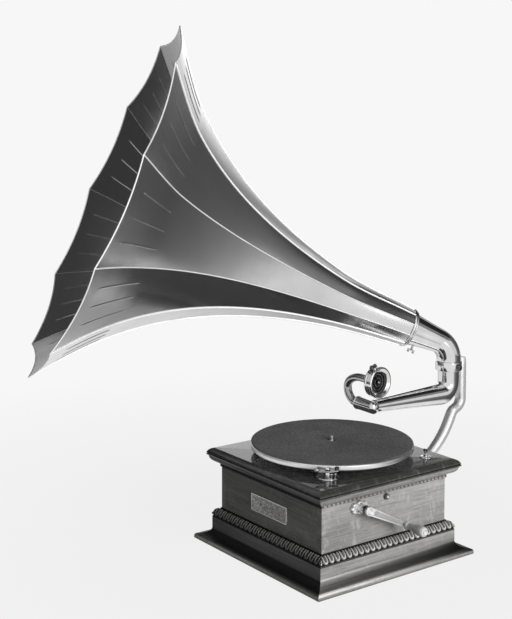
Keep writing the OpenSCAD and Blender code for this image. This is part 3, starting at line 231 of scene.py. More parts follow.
# a bar whose outline is drawn round two circles, with (inset, height) steps
def strapSkin(fromR, toR, length, steps, spot, per=16):
    lean = math.asin((fromR - toR) / length)
    a = np.linspace(math.pi / 2 - lean, 1.5 * math.pi + lean, per)
    b = np.linspace(-math.pi / 2 + lean, math.pi / 2 - lean, per)
    loops = []
    for d, h in steps:
        hub = np.c_[(fromR - d) * np.cos(a), (fromR - d) * np.sin(a)]
        tip = np.c_[length + (toR - d) * np.cos(b), (toR - d) * np.sin(b)]
        loops.append(np.c_[np.concatenate([hub, tip]), np.full(2 * per, h)])
    return tube(placed(np.array(loops), spot))


# keeps a wood skin's grain coordinates in metres, and its painted light and shade, as point attributes
def keepGrain(mesh, grain):
    runs = mesh.attributes.new("grainAt", "FLOAT_VECTOR", "POINT")
    runs.data.foreach_set("vector", grain[:, :3].ravel())
    paintedLights = mesh.attributes.new("paintedLightAt", "FLOAT", "POINT")
    paintedLights.data.foreach_set("value", grain[:, 3].copy())


# merges a skin's doubles and turns its faces outwards; grain and painted light and shade ride along
def tidied(points, faces, grain):
    mesh = bpy.data.meshes.new("skin")
    mesh.from_pydata((points / 1000).tolist(), [], faces)
    if grain is not None:
        keepGrain(mesh, grain / [1000, 1000, 1000, 1])
    work = bmesh.new()
    work.from_mesh(mesh)
    bmesh.ops.remove_doubles(work, verts=work.verts, dist=2e-6)
    bmesh.ops.recalc_face_normals(work, faces=work.faces)
    work.to_mesh(mesh)
    work.free()
    spots = np.empty(len(mesh.vertices) * 3)
    mesh.vertices.foreach_get("co", spots)
    run, paintedLight = np.zeros(len(mesh.vertices) * 3), np.zeros(len(mesh.vertices))
    if grain is not None:
        mesh.attributes["grainAt"].data.foreach_get("vector", run)
        mesh.attributes["paintedLightAt"].data.foreach_get("value", paintedLight)
    loops = [list(f.vertices) for f in mesh.polygons]
    bpy.data.meshes.remove(mesh)
    return spots.reshape(-1, 3), loops, np.c_[run.reshape(-1, 3), paintedLight]


# one object from several closed skins: (points, faces) or (points, faces, grain)
def addPiece(name, skins, finish, body, stands=(), crease=38):
    spots, loops, runs = [], [], []
    count = 0
    woody = len(skins[0]) == 3
    for skin in skins:
        p, f, g = tidied(np.asarray(skin[0], float), skin[1], skin[2] if woody else None)
        spots.append(p)
        runs.append(g)
        loops += [[v + count for v in face] for face in f]
        count += len(p)
    mesh = bpy.data.meshes.new(name)
    mesh.from_pydata(np.concatenate(spots).tolist(), [], loops)
    if woody:
        keepGrain(mesh, np.concatenate(runs))
    mesh.polygons.foreach_set("use_smooth", np.ones(len(mesh.polygons), bool))
    mesh.update()
    mesh.set_sharp_from_angle(angle=math.radians(crease))
    mesh.materials.append(finish)
    piece = addObject(name, mesh)
    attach(piece, body)
    if stands:
        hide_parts(*stands)


# the inputs of a node: a value that is a socket is linked, anything else is set
def feed(tree, made, inputs):
    for key, value in inputs.items():
        if isinstance(value, bpy.types.NodeSocket):
            tree.links.new(value, made.inputs[key])
        else:
            made.inputs[key].default_value = value


# a new node with its properties and inputs
def knot(tree, kind, inputs=None, **props):
    made = tree.nodes.new(kind)
    for key, value in props.items():
        setattr(made, key, value)
    feed(tree, made, inputs or {})
    return made


# a new material with nothing in its tree
def newTree(name):
    finish = bpy.data.materials.new(name)
    finish.use_nodes = True
    finish.node_tree.nodes.clear()
    return finish, finish.node_tree


# a new material with one skin shader
def newFinish(name):
    finish, tree = newTree(name)
    skin = knot(tree, "ShaderNodeBsdfPrincipled")
    knot(tree, "ShaderNodeOutputMaterial", {"Surface": skin.outputs["BSDF"]})
    return finish, tree, skin


# where a point lies in its piece, in metres
def objectAt(tree):
    return knot(tree, "ShaderNodeTexCoord").outputs["Object"]


# a value kept at the points
def kept(tree, name, kind="Fac"):
    return knot(tree, "ShaderNodeAttribute", attribute_name=name).outputs[kind]


# a value turned into colours by stops of (place, colour)
def ramp(tree, value, stops):
    made = knot(tree, "ShaderNodeValToRGB", {"Fac": value})
    while len(made.color_ramp.elements) < len(stops):
        made.color_ramp.elements.new(0.5)
    for element, (place, colour) in zip(made.color_ramp.elements, stops):
        element.position = place
        element.color = (*colour, 1)
    return made.outputs["Color"]


# a grey colour
def grey(v):
    return v, v, v


# a ramp between two greys
def greys(tree, value, first, second):
    return ramp(tree, value, [(first[0], grey(first[1])), (second[0], grey(second[1]))])


# noise on stretched coordinates: scale is cycles per metre along each axis
def streaks(tree, where, scale, detail=3.0, rough=0.55, bend=0.0):
    spread = knot(tree, "ShaderNodeMapping", {"Vector": where, "Scale": scale}).outputs["Vector"]
    made = knot(tree, "ShaderNodeTexNoise", {"Vector": spread, "Scale": 1.0, "Detail": detail,
                                             "Roughness": rough, "Distortion": bend})
    return made.outputs["Fac"]


# two colours mixed by a factor
def mixed(tree, how, factor, first, second):
    first, second = (v if isinstance(v, bpy.types.NodeSocket) else (*v, 1) for v in (first, second))
    made = knot(tree, "ShaderNodeMix", {0: factor, 6: first, 7: second}, data_type="RGBA", blend_type=how)
    return made.outputs[2]


# one sum on two values
def maths(tree, how, first, second):
    return knot(tree, "ShaderNodeMath", {0: first, 1: second}, operation=how).outputs[0]


# a normal leaned by a height
def bumped(tree, height, strength, distance, more=None, **props):
    inputs = {"Height": height, "Strength": strength, "Distance": distance, **(more or {})}
    return knot(tree, "ShaderNodeBump", inputs, **props).outputs["Normal"]


# stained oak: fibre streaks and pores along the grain, slow bands, and ray fleck across it
def oakFinish(name, s):
    finish, tree, skin = newFinish(name)
    where = kept(tree, "grainAt", "Vector") if s["byGrain"] else objectAt(tree)
    bands = streaks(tree, where, (1.6, 30, 30), 3, 0.5, 0.6)
    fibre = streaks(tree, where, (8, 300, 300), 5, 0.65)
    pores = streaks(tree, where, (30, 520, 520), 2, 0.5)
    fleck = streaks(tree, where, (75, 30, 30), 3, 0.6, 1.2)
    wood = ramp(tree, bands, [(0.3, s["dark"]), (0.5, s["mid"]), (0.72, s["light"])])
    wood = mixed(tree, "MULTIPLY", s["fibre"], wood, greys(tree, fibre, (0.32, 0.5), (0.62, 1.2)))
    share = maths(tree, "MULTIPLY", greys(tree, fleck, (0.54, 0), (0.66, 1)), s["fleck"])
    wood = mixed(tree, "MIX", share, wood, s["fleckTone"])
    hole = greys(tree, pores, (0.34, 0.35), (0.42, 1))
    wood = mixed(tree, "MULTIPLY", s["pore"], wood, hole)
    feed(tree, skin, {"Coat Weight": s["coat"], "Coat Roughness": s["coatRough"],
                      "Specular IOR Level": s["spec"]})
    if s["byGrain"]:
        # painted light and shade kept at the points: it darkens the wood in crevices and on shaded sides,
        # lightens lit edges, and takes the coat off the darkest parts
        paintedLight = kept(tree, "paintedLightAt")
        wood = mixed(tree, "MULTIPLY", 1.0, wood, paintedLight)
        feed(tree, skin, {"Coat Weight": greys(tree, paintedLight, (0.1, 0), (0.35, s["coat"]))})
    shine = greys(tree, fibre, (0.3, s["rough"] + 0.1), (0.7, s["rough"] - 0.06))
    relief = maths(tree, "ADD", maths(tree, "MULTIPLY", fibre, 0.5), maths(tree, "MULTIPLY", hole, 0.5))
    feed(tree, skin, {"Base Color": wood, "Roughness": shine, "Normal": bumped(tree, relief, 0.35, 0.0006)})
    return finish


# plated or turned metal: cloudy tone and gloss, slow dents and fine rubbing marks
def metalFinish(name, s):
    finish, tree, skin = newFinish(name)
    where = objectAt(tree)
    cloud = streaks(tree, where, grey(s["cloud"]), 4, 0.6)
    specks = streaks(tree, where, grey(900), 2, 0.5)
    dents = streaks(tree, where, grey(s["dents"]), 2, 0.45)
    rubs = streaks(tree, where, (60, 60, 1500), 3, 0.6)
    tone = ramp(tree, cloud, [(0.3, s["dull"]), (0.7, s["bright"])])
    tone = mixed(tree, "MULTIPLY", 1.0, tone, greys(tree, specks, (0.24, s["speck"]), (0.34, 1)))
    slow = bumped(tree, dents, s["wave"], 0.01)
    feed(tree, skin, {"Base Color": tone, "Metallic": s["metal"], "Specular IOR Level": s["spec"],
                      "Roughness": greys(tree, cloud, (0.3, s["rough"] * 1.5), (0.7, s["rough"])),
                      "Normal": bumped(tree, rubs, s["rub"], 0.0004, {"Normal": slow})})
    return finish


# wool felt: a fuzz of short fibres in two sizes, with a soft sheen
def feltFinish(name):
    finish, tree, skin = newFinish(name)
    where = objectAt(tree)
    nap = streaks(tree, where, grey(480), 5, 0.75)
    wear = streaks(tree, where, grey(22), 3, 0.5)
    tone = ramp(tree, nap, [(0.28, grey(0.012)), (0.52, grey(0.06)), (0.72, grey(0.17))])
    tone = mixed(tree, "MULTIPLY", 0.7, tone, greys(tree, wear, (0.3, 0.75), (0.7, 1.2)))
    feed(tree, skin, {"Base Color": tone, "Roughness": 0.95, "Specular IOR Level": 0.1, "Sheen Weight": 0.04,
                      "Sheen Roughness": 0.5, "Normal": bumped(tree, nap, 0.6, 0.001)})
    return finish


# leather or rubber: small rounded cells with darker creases between them
def hideFinish(name, tone, rough):
    finish, tree, skin = newFinish(name)
    cells = knot(tree, "ShaderNodeTexVoronoi", {"Vector": objectAt(tree),
                                                "Scale": 1200.0}).outputs["Distance"]
    proud, crease = (tuple(share * c for c in tone) for share in (1.3, 0.6))
    feed(tree, skin, {"Base Color": ramp(tree, cells, [(0.1, proud), (0.7, crease)]), "Roughness": rough,
                      "Normal": bumped(tree, cells, 0.4, 0.0004, {"Filter Width": 0.1}, invert=True)})
    return finish


# a faintly warm grey
def woodTone(v):
    return v, 0.985 * v, 0.96 * v


oakSet = {"byGrain": True, "dark": woodTone(0.115), "mid": woodTone(0.155), "light": woodTone(0.195),
          "fleckTone": woodTone(0.23), "fibre": 0.45, "fleck": 0.45, "pore": 0.5, "rough": 0.5, "coat": 0.03,
          "coatRough": 0.22, "spec": 0.12}
# the mouldings: a darker copy of the oak, painted shade; the kept painted light lifts their lit parts back up
shadedMouldSet = dict(oakSet, dark=woodTone(0.045), mid=woodTone(0.085), light=woodTone(0.135), fleck=0.1,
                coat=0.28, coatRough=0.16)
# the motor board's top: a much darker copy of the oak, painted shade
shadedTopSet = dict(oakSet, dark=woodTone(0.013), mid=woodTone(0.024), light=woodTone(0.042), fleck=0.1, coat=0.95,
              coatRough=0.08)
insideSet = dict(oakSet, byGrain=False, coat=0.0, rough=0.6)
sheetSet = {"dull": grey(0.62), "bright": grey(0.74), "rough": 0.15, "metal": 1.0, "cloud": 9, "speck": 0.8,
            "dents": 10, "wave": 0.05, "rub": 0.015, "spec": 0.5}
nickelSet = dict(sheetSet, dull=grey(0.70), bright=grey(0.82), rough=0.07, cloud=30, dents=18, wave=0.02,
                 rub=0.05)
seamSet = dict(nickelSet, dull=grey(0.82), bright=grey(0.94), rough=0.3, metal=0.7, wave=0.0)
steelSet = dict(nickelSet, dull=grey(0.42), bright=grey(0.52), rough=0.24, rub=0.2)
brassSet = dict(steelSet, dull=(0.42, 0.36, 0.22), bright=(0.58, 0.49, 0.30))
ironSet = dict(sheetSet, dull=grey(0.02), bright=grey(0.05), rough=0.35, metal=0.0, cloud=40, dents=60,
               rub=0.1)
plateSet = dict(sheetSet, dull=woodTone(0.06), bright=woodTone(0.62), rough=0.4, metal=0.3, cloud=260,
                speck=0.45, dents=40, wave=0.02, rub=0.15, spec=0.3)
gripSet = dict(oakSet, dark=grey(0.24), mid=grey(0.3), light=grey(0.36), fleckTone=grey(0.4), fleck=0.1,
               rough=0.25, coat=0.6, spec=0.5, byGrain=False)

oakWalls = oakFinish("oakWalls", oakSet)
oakMoulds = oakFinish("oakMoulds", shadedMouldSet)
oakTop = oakFinish("oakTop", shadedTopSet)
oakInside = oakFinish("oakInside", insideSet)
hornNickel = metalFinish("hornNickel", sheetSet)
brightNickel = metalFinish("brightNickel", nickelSet)
seamNickel = metalFinish("seamNickel", seamSet)
satinNickel = metalFinish("satinNickel", dict(nickelSet, rough=0.3, wave=0.0))
wornNickel = metalFinish("wornNickel", dict(nickelSet, dull=grey(0.6), bright=grey(0.74), rough=0.24,
                                            metal=0.82, wave=0.0))
turnedSteel = metalFinish("turnedSteel", steelSet)
plainBrass = metalFinish("plainBrass", brassSet)
darkSteel = metalFinish("darkSteel", dict(steelSet, dull=grey(0.1), bright=grey(0.18)))
dullNickel = metalFinish("dullNickel", dict(nickelSet, dull=grey(0.36), bright=grey(0.48), rough=0.14))
barNickel = metalFinish("barNickel", dict(nickelSet, rough=0.26, metal=0.85))
darkFieldNickel = metalFinish("darkFieldNickel", dict(ironSet, dull=grey(0.11), bright=grey(0.17)))
japannedIron = metalFinish("japannedIron", ironSet)
bronzedPlate = metalFinish("bronzedPlate", plateSet)
gripWood = oakFinish("gripWood", gripSet)
woolFelt = feltFinish("woolFelt")
brakeLeather = hideFinish("brakeLeather", (0.03, 0.027, 0.024), 0.6)
smokyMica = metalFinish("smokyMica", dict(ironSet, rough=0.2, dull=grey(0.003), bright=grey(0.008),
                                          spec=0.1))
print("finishes made")

# the horn: eleven flat-sided panels on one exponential flare, their rims cut back between the tips
hornSet = {"panels": 11, "length": 665.4, "bellR": 357.7, "throatR": 37.5, "flare": 263, "waist": 7.2,
           "waistIn": (180, 110), "sag": 4.2, "recess": 5.8, "seamTurn": 10, "start": 9, "sheet": 0.8,
           "gap": 0.7, "bow": 0.011, "ribs": (-0.5, 0, 0.5), "ribHigh": 0.85, "ribWide": 0.011,
           "ribFrom": 0.862, "ribTo": 0.972, "ribEnd": 0.012, "rows": (34, 40), "fineFrom": 0.85,
           "seamW": 1.05, "seamH": 1.4, "seamUp": 0.5, "wireR": 1.35, "wireOut": 1.3, "wireIn": 0.4,
           "around": 12}
halfPanel = math.pi / hornSet["panels"]
flareGain = (hornSet["bellR"] - hornSet["throatR"]) / (math.exp(hornSet["length"] / hornSet["flare"]) - 1)


# a smooth step from 0 to 1: three squares less two cubes
def easeIn(x):
    x = np.clip(x, 0, 1)
    return x * x * (3 - 2 * x)


# 1 along the horn's middle, easing to 0 at both ends
def midway(s):
    fromThroat, fromRim = hornSet["waistIn"]
    return easeIn(s / fromThroat) * easeIn((hornSet["length"] - s) / fromRim)


# the flare's radius: the throat radius plus a gain times an exponential of the distance,
# drawn in a little midway
def flareRadius(s):
    h = hornSet
    return h["throatR"] + flareGain * (np.exp(s / h["flare"]) - 1) - h["waist"] * midway(s)


# the radius and its slope, which is the change of radius over one millimetre
def flareAt(s):
    return flareRadius(s), flareRadius(s + 0.5) - flareRadius(s - 0.5)


# one panel over t along it and w across: flat between two seams, bowed a little, with embossed ribs
def panelGrid(t, w, drop, inset):
    h = hornSet
    reach = h["length"] - h["recess"] * (1 - w * w)
    s = h["start"] + (reach - h["start"]) * t
    r, slope = flareAt(s)
    flat = r * math.cos(halfPanel)
    wide = flat * math.tan(halfPanel) - inset
    lift = flat * h["bow"] * (1 - w * w) - drop
    along = easeIn((t - h["ribFrom"]) / h["ribEnd"]) * easeIn((h["ribTo"] - t) / h["ribEnd"])
    for rib in h["ribs"]:
        lift = lift + h["ribHigh"] * along * np.exp(-((w - rib) / h["ribWide"]) ** 2)
    tilt = slope * math.cos(halfPanel)
    size = np.sqrt(1 + tilt ** 2)
    return np.stack([flat + lift / size, w * wide, s - lift * tilt / size], -1)


# turned about the horn's axis, let down a little midway, and put in the horn's place
def onHorn(points, angle):
    local = spun(points, angle)
    local[..., 0] += hornSet["sag"] * midway(local[..., 2])
    return placed(local, hornSpot)


# the panels: one grid with fine columns at its ribs, doubled by the sheet's thickness and turned round
def makePanels(t, middles):
    h = hornSet
    near = np.array([-3, -2.1, -1.4, -0.8, -0.3, 0.3, 0.8, 1.4, 2.1, 3]) * h["ribWide"]
    w = np.unique(np.r_[np.linspace(-1, -0.6, 5), np.linspace(-0.4, -0.1, 3), np.linspace(0.1, 0.4, 3),
                        np.linspace(0.6, 1, 5), (np.array(h["ribs"])[:, None] + near).ravel()])[None, :]
    outer, inner = (panelGrid(t, w, drop, h["gap"]) for drop in (0, h["sheet"]))
    panels = [doubleSheet(onHorn(outer, angle), onHorn(inner, angle)) for angle in middles]
    addPiece("hornPanels", panels, hornNickel, "horn", ["horn_panels"], 50)


# a seam bead: an oval section carried along the line where two panels meet
def makeSeams(t, meets):
    h = hornSet
    s = h["start"] + (h["length"] - 0.5 - h["start"]) * t
    r, slope = flareAt(s)
    a = fullTurn(h["around"])
    size = np.sqrt(1 + slope ** 2)
    up = (h["seamH"] * np.sin(a) + h["seamUp"])[None, :]
    across = np.broadcast_to(h["seamW"] * np.cos(a), (len(s), len(a)))
    bead = np.stack([r[:, None] + up / size[:, None], across, s[:, None] - up * (slope / size)[:, None]], -1)
    seams = [tube(onHorn(bead, angle)) for angle in meets]
    addPiece("hornSeams", seams, seamNickel, "horn", ["horn_seams"])


# the rim wire: a round section carried round all the panels' edges
def makeRim(middles):
    h = hornSet
    edge = panelGrid(np.array([[1.0]]), np.linspace(-1, 1, 25)[None, :-1], h["wireIn"], 0)[0]
    loop = np.concatenate([spun(edge, angle) for angle in middles])
    ahead = np.roll(loop, -1, 0) - np.roll(loop, 1, 0)
    ahead /= np.linalg.norm(ahead, axis=1)[:, None]
    out = loop * [1, 1, 0] / np.linalg.norm(loop[:, :2], axis=1)[:, None]
    slope = flareAt(loop[:, 2])[1][:, None]
    onward = (out * slope + [0, 0, 1]) / np.sqrt(1 + slope ** 2)
    side = np.cross(ahead, onward)
    side /= np.linalg.norm(side, axis=1)[:, None]
    a = fullTurn(h["around"])[None, :, None]
    section = np.cos(a) * onward[:, None] + np.sin(a) * side[:, None]
    wire = (loop + onward * h["wireOut"])[:, None] + h["wireR"] * section
    addPiece("hornRim", [sheet(onHorn(wire, 0), True, True)], seamNickel, "horn",
             ["horn_rim_wire"])


# the horn's rows lie closer together where the ribs are
def makeHorn():
    h = hornSet
    t = np.r_[np.linspace(0, h["fineFrom"], h["rows"][0]), np.linspace(h["fineFrom"], 1, h["rows"][1])[1:]]
    meets = h["seamTurn"] + np.arange(h["panels"]) * 360 / h["panels"]
    middles = meets + 180 / h["panels"]
    makePanels(t[:, None], middles)
    makeSeams(t, meets)
    makeRim(middles)


makeHorn()
print("horn made")


# the elbow: a pipe up from the collar, round the bend and widening smoothly to the horn's throat
def makeElbow():
    e = elbowSet
    a = np.radians(np.linspace(0, elbowLean, 26))
    rise = np.linspace(e["low"], e["foot"], 8)[:-1]
    bend = np.c_[e["bend"] * (1 - np.cos(a)), np.zeros(26), e["foot"] + e["bend"] * np.sin(a)]
    run = np.linspace(0, e["run"] + e["spigot"], 22)[1:, None] * [leanSin, 0, leanCos] + bend[-1]
    path = np.concatenate([np.c_[0 * rise, 0 * rise, rise], bend, run])
    far = np.r_[0, np.cumsum(np.linalg.norm(np.diff(path, axis=0), axis=1))]
    share = np.clip((far - e["widenFrom"]) / (far[-1] - e["spigot"] - e["widenFrom"]), 0, 1)
    radius = e["tubeR"] + (e["mouthR"] - e["tubeR"]) * share ** 1.25
    radius[far < e["footTo"]] = e["footR"]
    elbow = pipe(path, radius, e["wall"], (0, 1, 0), elbowSpot, 64)
    addPiece("elbowTube", [elbow], brightNickel, "horn", ["elbow"])
    # the throat's ferrule: a short band with a small bead and a proud rolled bead at its open end
    band = lathe([(33.35, -1.2), (36.4, -1.2), (37.5, 0.2), (36.8, 1.6), (35.8, 2), (38.6, 2.6), (39.9, 4.9),
                  (38.6, 7.4), (36, 8.6), (34.75, 9), (34.75, 26), (33.35, 26)], 1.3, hornSpot, 96, True, 4)
    addPiece("throatFerrule", [band], brightNickel, "horn", ["throat_ferrule"])
    # the winged screw: a stem, a cross bar and a lobe under each of its ends
    spot = within(hornSpot, turn("y", 90), (30.9, 0, -20))
    stem = lathe([(0, 0), (2, 0), (2, 5.5), (3.2, 6), (3.2, 7.4), (2, 8), (0, 8)], 0.4, spot, 24)
    flat = [(0.4, -1.4), (0, -0.9), (0, 0.9), (0.4, 1.4)]
    bar = plateSkin(7.8, 1.5, 1.2, flat, within(spot, turn("x", 90), (0, 0, 8.4)))
    lobe = [(0, 0), (1.5, 0), (1.5, 2), (2.3, 2.6), (2.3, 4.2), (1.4, 5), (0, 5)]
    lobes = [lathe(lobe, 0.4, moved(spot, x, 0, 8.6), 20) for x in (-5.4, 5.4)]
    addPiece("hornWingScrew", [stem, bar] + lobes, turnedSteel, "horn", ["horn_thumbscrew"])


makeElbow()

# the tone arm: a pipe down from the collar, round a bend, tapering along to its cross knuckle
armSet = {"z": 247, "bend": 24.9, "top": 303.4, "tubeR": 21.4, "tipR": 11.6, "knuckleX": 202, "stop": 9,
          "wall": 1.5, "knuckleR": 12.2, "knuckleFrom": 9, "capHigh": 9, "neckR": 8.2, "neckTip": 7.6,
          "neckWall": 1.2, "neckBend": 25.5, "neckSide": -45, "neckTop": -28, "neckFrom": -8, "neckTo": 2}
knuckleSpot = within(armSpot, turn("x", 90), (armSet["knuckleX"], 0, armSet["z"]))


def makeArm():
    s = armSet
    a = np.radians(np.linspace(0, 90, 26))
    drop = np.linspace(s["top"], s["z"] + s["bend"], 9)[:-1]
    bend = np.c_[s["bend"] * (1 - np.cos(a)), np.zeros(26), s["z"] + s["bend"] * (1 - np.sin(a))]
    reach = np.linspace(s["bend"], s["knuckleX"] - s["stop"], 26)[1:]
    path = np.concatenate([np.c_[0 * drop, 0 * drop, drop], bend,
                           np.c_[reach, 0 * reach, 0 * reach + s["z"]]])
    along = np.clip((path[:, 0] - s["bend"]) / (s["knuckleX"] - s["bend"]), 0, 1)
    arm = pipe(path, s["tubeR"] + (s["tipR"] - s["tubeR"]) * along, s["wall"], (0, 1, 0), armSpot, 56)
    addPiece("toneArm", [arm], brightNickel, "arm", ["tone_arm"])
    # the knuckle: a cross tube with a rounded cap at one end and a ring at the other
    r, inner = s["knuckleR"], s["neckR"] + 0.05
    cap = np.radians(np.linspace(90, 0, 12))
    dome = np.c_[r * np.cos(cap), -s["knuckleFrom"] - s["capHigh"] * np.sin(cap)]
    body = soften([(r, -8), (r, 36), (r + 0.8, 36.6), (r + 0.8, 38.8), (r - 0.4, 40), (inner, 40),
                   (inner, -8.2), (0, -8.2)], 0.5, False, 3)
    knuckle = turned(np.concatenate([dome, body]), knuckleSpot, 56)
    addPiece("armKnuckle", [knuckle], brightNickel, "arm", ["arm_knuckle"])


makeArm()


# the gooseneck: a pipe out of the knuckle, up a quarter circle and back along a quarter oval
def makeGooseneck():
    s = armSet
    a = np.radians(np.linspace(0, 180, 40))
    side, top, bend = s["neckSide"], s["neckTop"], s["neckBend"]
    low = np.linspace(s["neckFrom"], side, 14)[:-1]
    back = np.linspace(top, s["neckTo"], 10)[1:]
    across = np.where(a < np.pi / 2, side - bend * np.sin(a), top + (side - bend - top) * np.sin(a))
    flat = np.concatenate([np.c_[low, 0 * low + s["z"]], np.c_[across, s["z"] + bend - bend * np.cos(a)],
                           np.c_[back, 0 * back + s["z"] + 2 * bend]])
    path = np.c_[np.full(len(flat), s["knuckleX"]), flat]
    radius = s["neckR"] + (s["neckTip"] - s["neckR"]) * easeIn(np.linspace(-0.6, 1, len(path)))
    neck = pipe(path, radius, s["neckWall"], (1, 0, 0), armSpot, 40)
    # a ferrule ring where the neck leaves the knuckle
    ring = lathe([(8, 40.6), (9.9, 40.6), (9.9, 43.2), (8, 43.2)], 0.8, knuckleSpot, 40, True, 4)
    addPiece("gooseneck", [neck, ring], dullNickel, "sound_box", ["gooseneck"])


makeGooseneck()

# the sound box: a grooved shell, a wide bevelled front ring and a ringed diaphragm
soundBoxSet = {"chuckDir": -58, "barZ": 14.8, "barX": 15.9, "chuckX": 29.5, "sideX": 34, "screwX": 34.15,
               "discR": 25.8, "discZ": 12, "discThick": 0.6, "wave": 0.6, "waveLong": 5.4, "waveTo": 18.5,
               "wires": (8, 15.2), "wireR": 0.45, "wireZ": 12.7}


def makeSoundBox():
    s = soundBoxSet
    shell = [(8.6, -7), (10.8, -7), (11.6, -6.2), (11.6, -0.6), (13, 0), (24.5, 0), (27.6, 1.6), (28.5, 4.2),
             (28.5, 6), (27.3, 6.9), (27.3, 8.6), (28.5, 9.5), (28.5, 15.9), (26, 15.9), (26, 2.5),
             (8.6, 2.5)]
    ring = [(30.5, 16.05), (30.5, 19.6), (29.6, 21.5), (28.2, 22), (26.8, 21.7), (21.8, 18.9), (21, 18.2),
            (21, 16.05)]
    gasket = [(18.8, 12.6), (21.6, 12.4), (25.8, 12.4), (25.8, 15.6), (20.2, 15.6), (18.8, 14.4)]
    shell, ring, gasket = (lathe(shape, soft, boxSpot, 96, True, 4)
                           for shape, soft in ((shell, 0.9), (ring, 0.8), (gasket, 0.8)))
    addPiece("soundBoxShell", [shell], brightNickel, "sound_box", ["sound_box_shell"])
    addPiece("soundBoxRing", [ring], brightNickel, "sound_box", ["sound_box_ring"])
    addPiece("gasketRing", [gasket], brakeLeather, "sound_box")
    # the diaphragm: rings of low waves about its middle
    r = np.linspace(s["discR"], 0, 90)
    front = s["discZ"] + s["wave"] * np.cos(r * 2 * np.pi / s["waveLong"]) * easeIn((s["waveTo"] - r) / 3)
    disc = np.concatenate([np.c_[r, front], np.c_[r, front - s["discThick"]][::-1]])
    addPiece("diaphragm", [turned(disc, boxSpot, 96)], smokyMica, "sound_box", ["diaphragm"])
    # two fine nickel rings on the diaphragm that stand in for highlights on its waves: painted highlights
    wires = [turned(circle(s["wireR"], 8)[0] + [at, s["wireZ"]], boxSpot, 72) for at in s["wires"]]
    addPiece("diaphragmRings", wires, dullNickel, "sound_box")
    # the needle bar from the chuck to the middle, and its clamp screws
    aim = within(boxSpot, turn("z", s["chuckDir"]), (0, 0, 0))
    steps = [(0.4, -1.2), (0, -0.8), (0, 0.8), (0.4, 1.2)]
    bar = plateSkin(15.2, 2, 1.6, steps, moved(aim, s["barX"], 0, s["barZ"]))
    boss = lathe([(0, 12.1), (2.6, 12.1), (2.6, 15.6), (1.6, 16.4), (0, 16.4)], 0.5, boxSpot, 24)
    chuck = lathe([(0.8, 0), (4.4, 0), (5.2, 0.8), (5.2, 7.6), (3.8, 8.4), (3.8, 10.4), (0.8, 10.4)], 0.4,
                  within(aim, turn("y", 90), (s["chuckX"], 0, s["barZ"])), 28, True)
    head = [(0, 4.9), (1.9, 4.9), (1.9, 6.6), (3.9, 7), (3.9, 10.6), (3, 11.4), (0, 11.4)]
    sides = [within(aim, turn("x", angle), (s["sideX"], 0, s["barZ"])) for angle in (-90, 90)]
    heads = [lathe(head, 0.4, spot, 24) for spot in sides]
    addPiece("needleBar", [bar, boss, chuck] + heads, darkSteel, "sound_box", ["needle_bar"])
    screw = lathe([(0, 3.25), (1.6, 3.25), (1.6, 5.2), (3.4, 5.4), (3.4, 9.6), (2.8, 10.2), (0, 10.2)], 0.4,
                  moved(aim, s["screwX"], 0, s["barZ"]), 24)
    middle = lathe([(0, 16.3), (2.4, 16.3), (2.1, 17.2), (0, 17.6)], 0.4, boxSpot, 24)
    addPiece("needleScrew", [screw, middle], brightNickel, "sound_box", ["needle_screw"])


makeSoundBox()
print("elbow, tone arm and sound box made")

# the bracket: a flat oval bar swept up in an S behind the cabinet, with its foot and collar
bracketSet = {"wide": 22, "thick": 18, "corner": 7.8, "startY": 155, "startZ": 97, "bigR": 173.16,
              "rise": 62, "run": 17, "overR": 12, "lean": 25, "step": 7.3, "upR": 22, "top": 315.5,
              "topShare": 0.86, "inward": 1.6, "footY": 148, "lugY": 330.6, "screwZ": 303.25, "screwX": 26.3,
              "holes": ((-17, 71), (-17, 123), (17, 71), (17, 123)), "holeY": 156}


# turns and runs laid one after another in the plane of the column, as (y, z) points
def bracketPath(s):
    moves = [(s["bigR"], s["rise"]), (s["run"], None), (-s["overR"], s["rise"] - s["lean"]),
             (s["step"] / math.cos(math.radians(s["lean"])), None), (s["upR"], 90 - s["lean"])]
    points = [np.array([[s["startY"], s["startZ"]]])]
    at = points[0][0] + [1.0, 0]
    heading = 0.0
    for size, bend in moves:
        ahead = np.array([math.cos(heading), math.sin(heading)])
        if bend is None:
            leg = at + np.linspace(0, size, 6)[1:, None] * ahead
        else:
            way = math.copysign(1, size)
            a = np.radians(np.linspace(0, bend, 24))[1:, None] * way
            left = np.array([-ahead[1], ahead[0]])
            leg = at + abs(size) * (np.sin(abs(a)) * ahead + way * (1 - np.cos(a)) * left)
            heading += float(a[-1, 0])
        points.append(leg)
        at = leg[-1]
    points.append(np.c_[np.full(8, at[0]), np.linspace(at[1], s["top"], 9)[1:]])
    return np.concatenate(points)


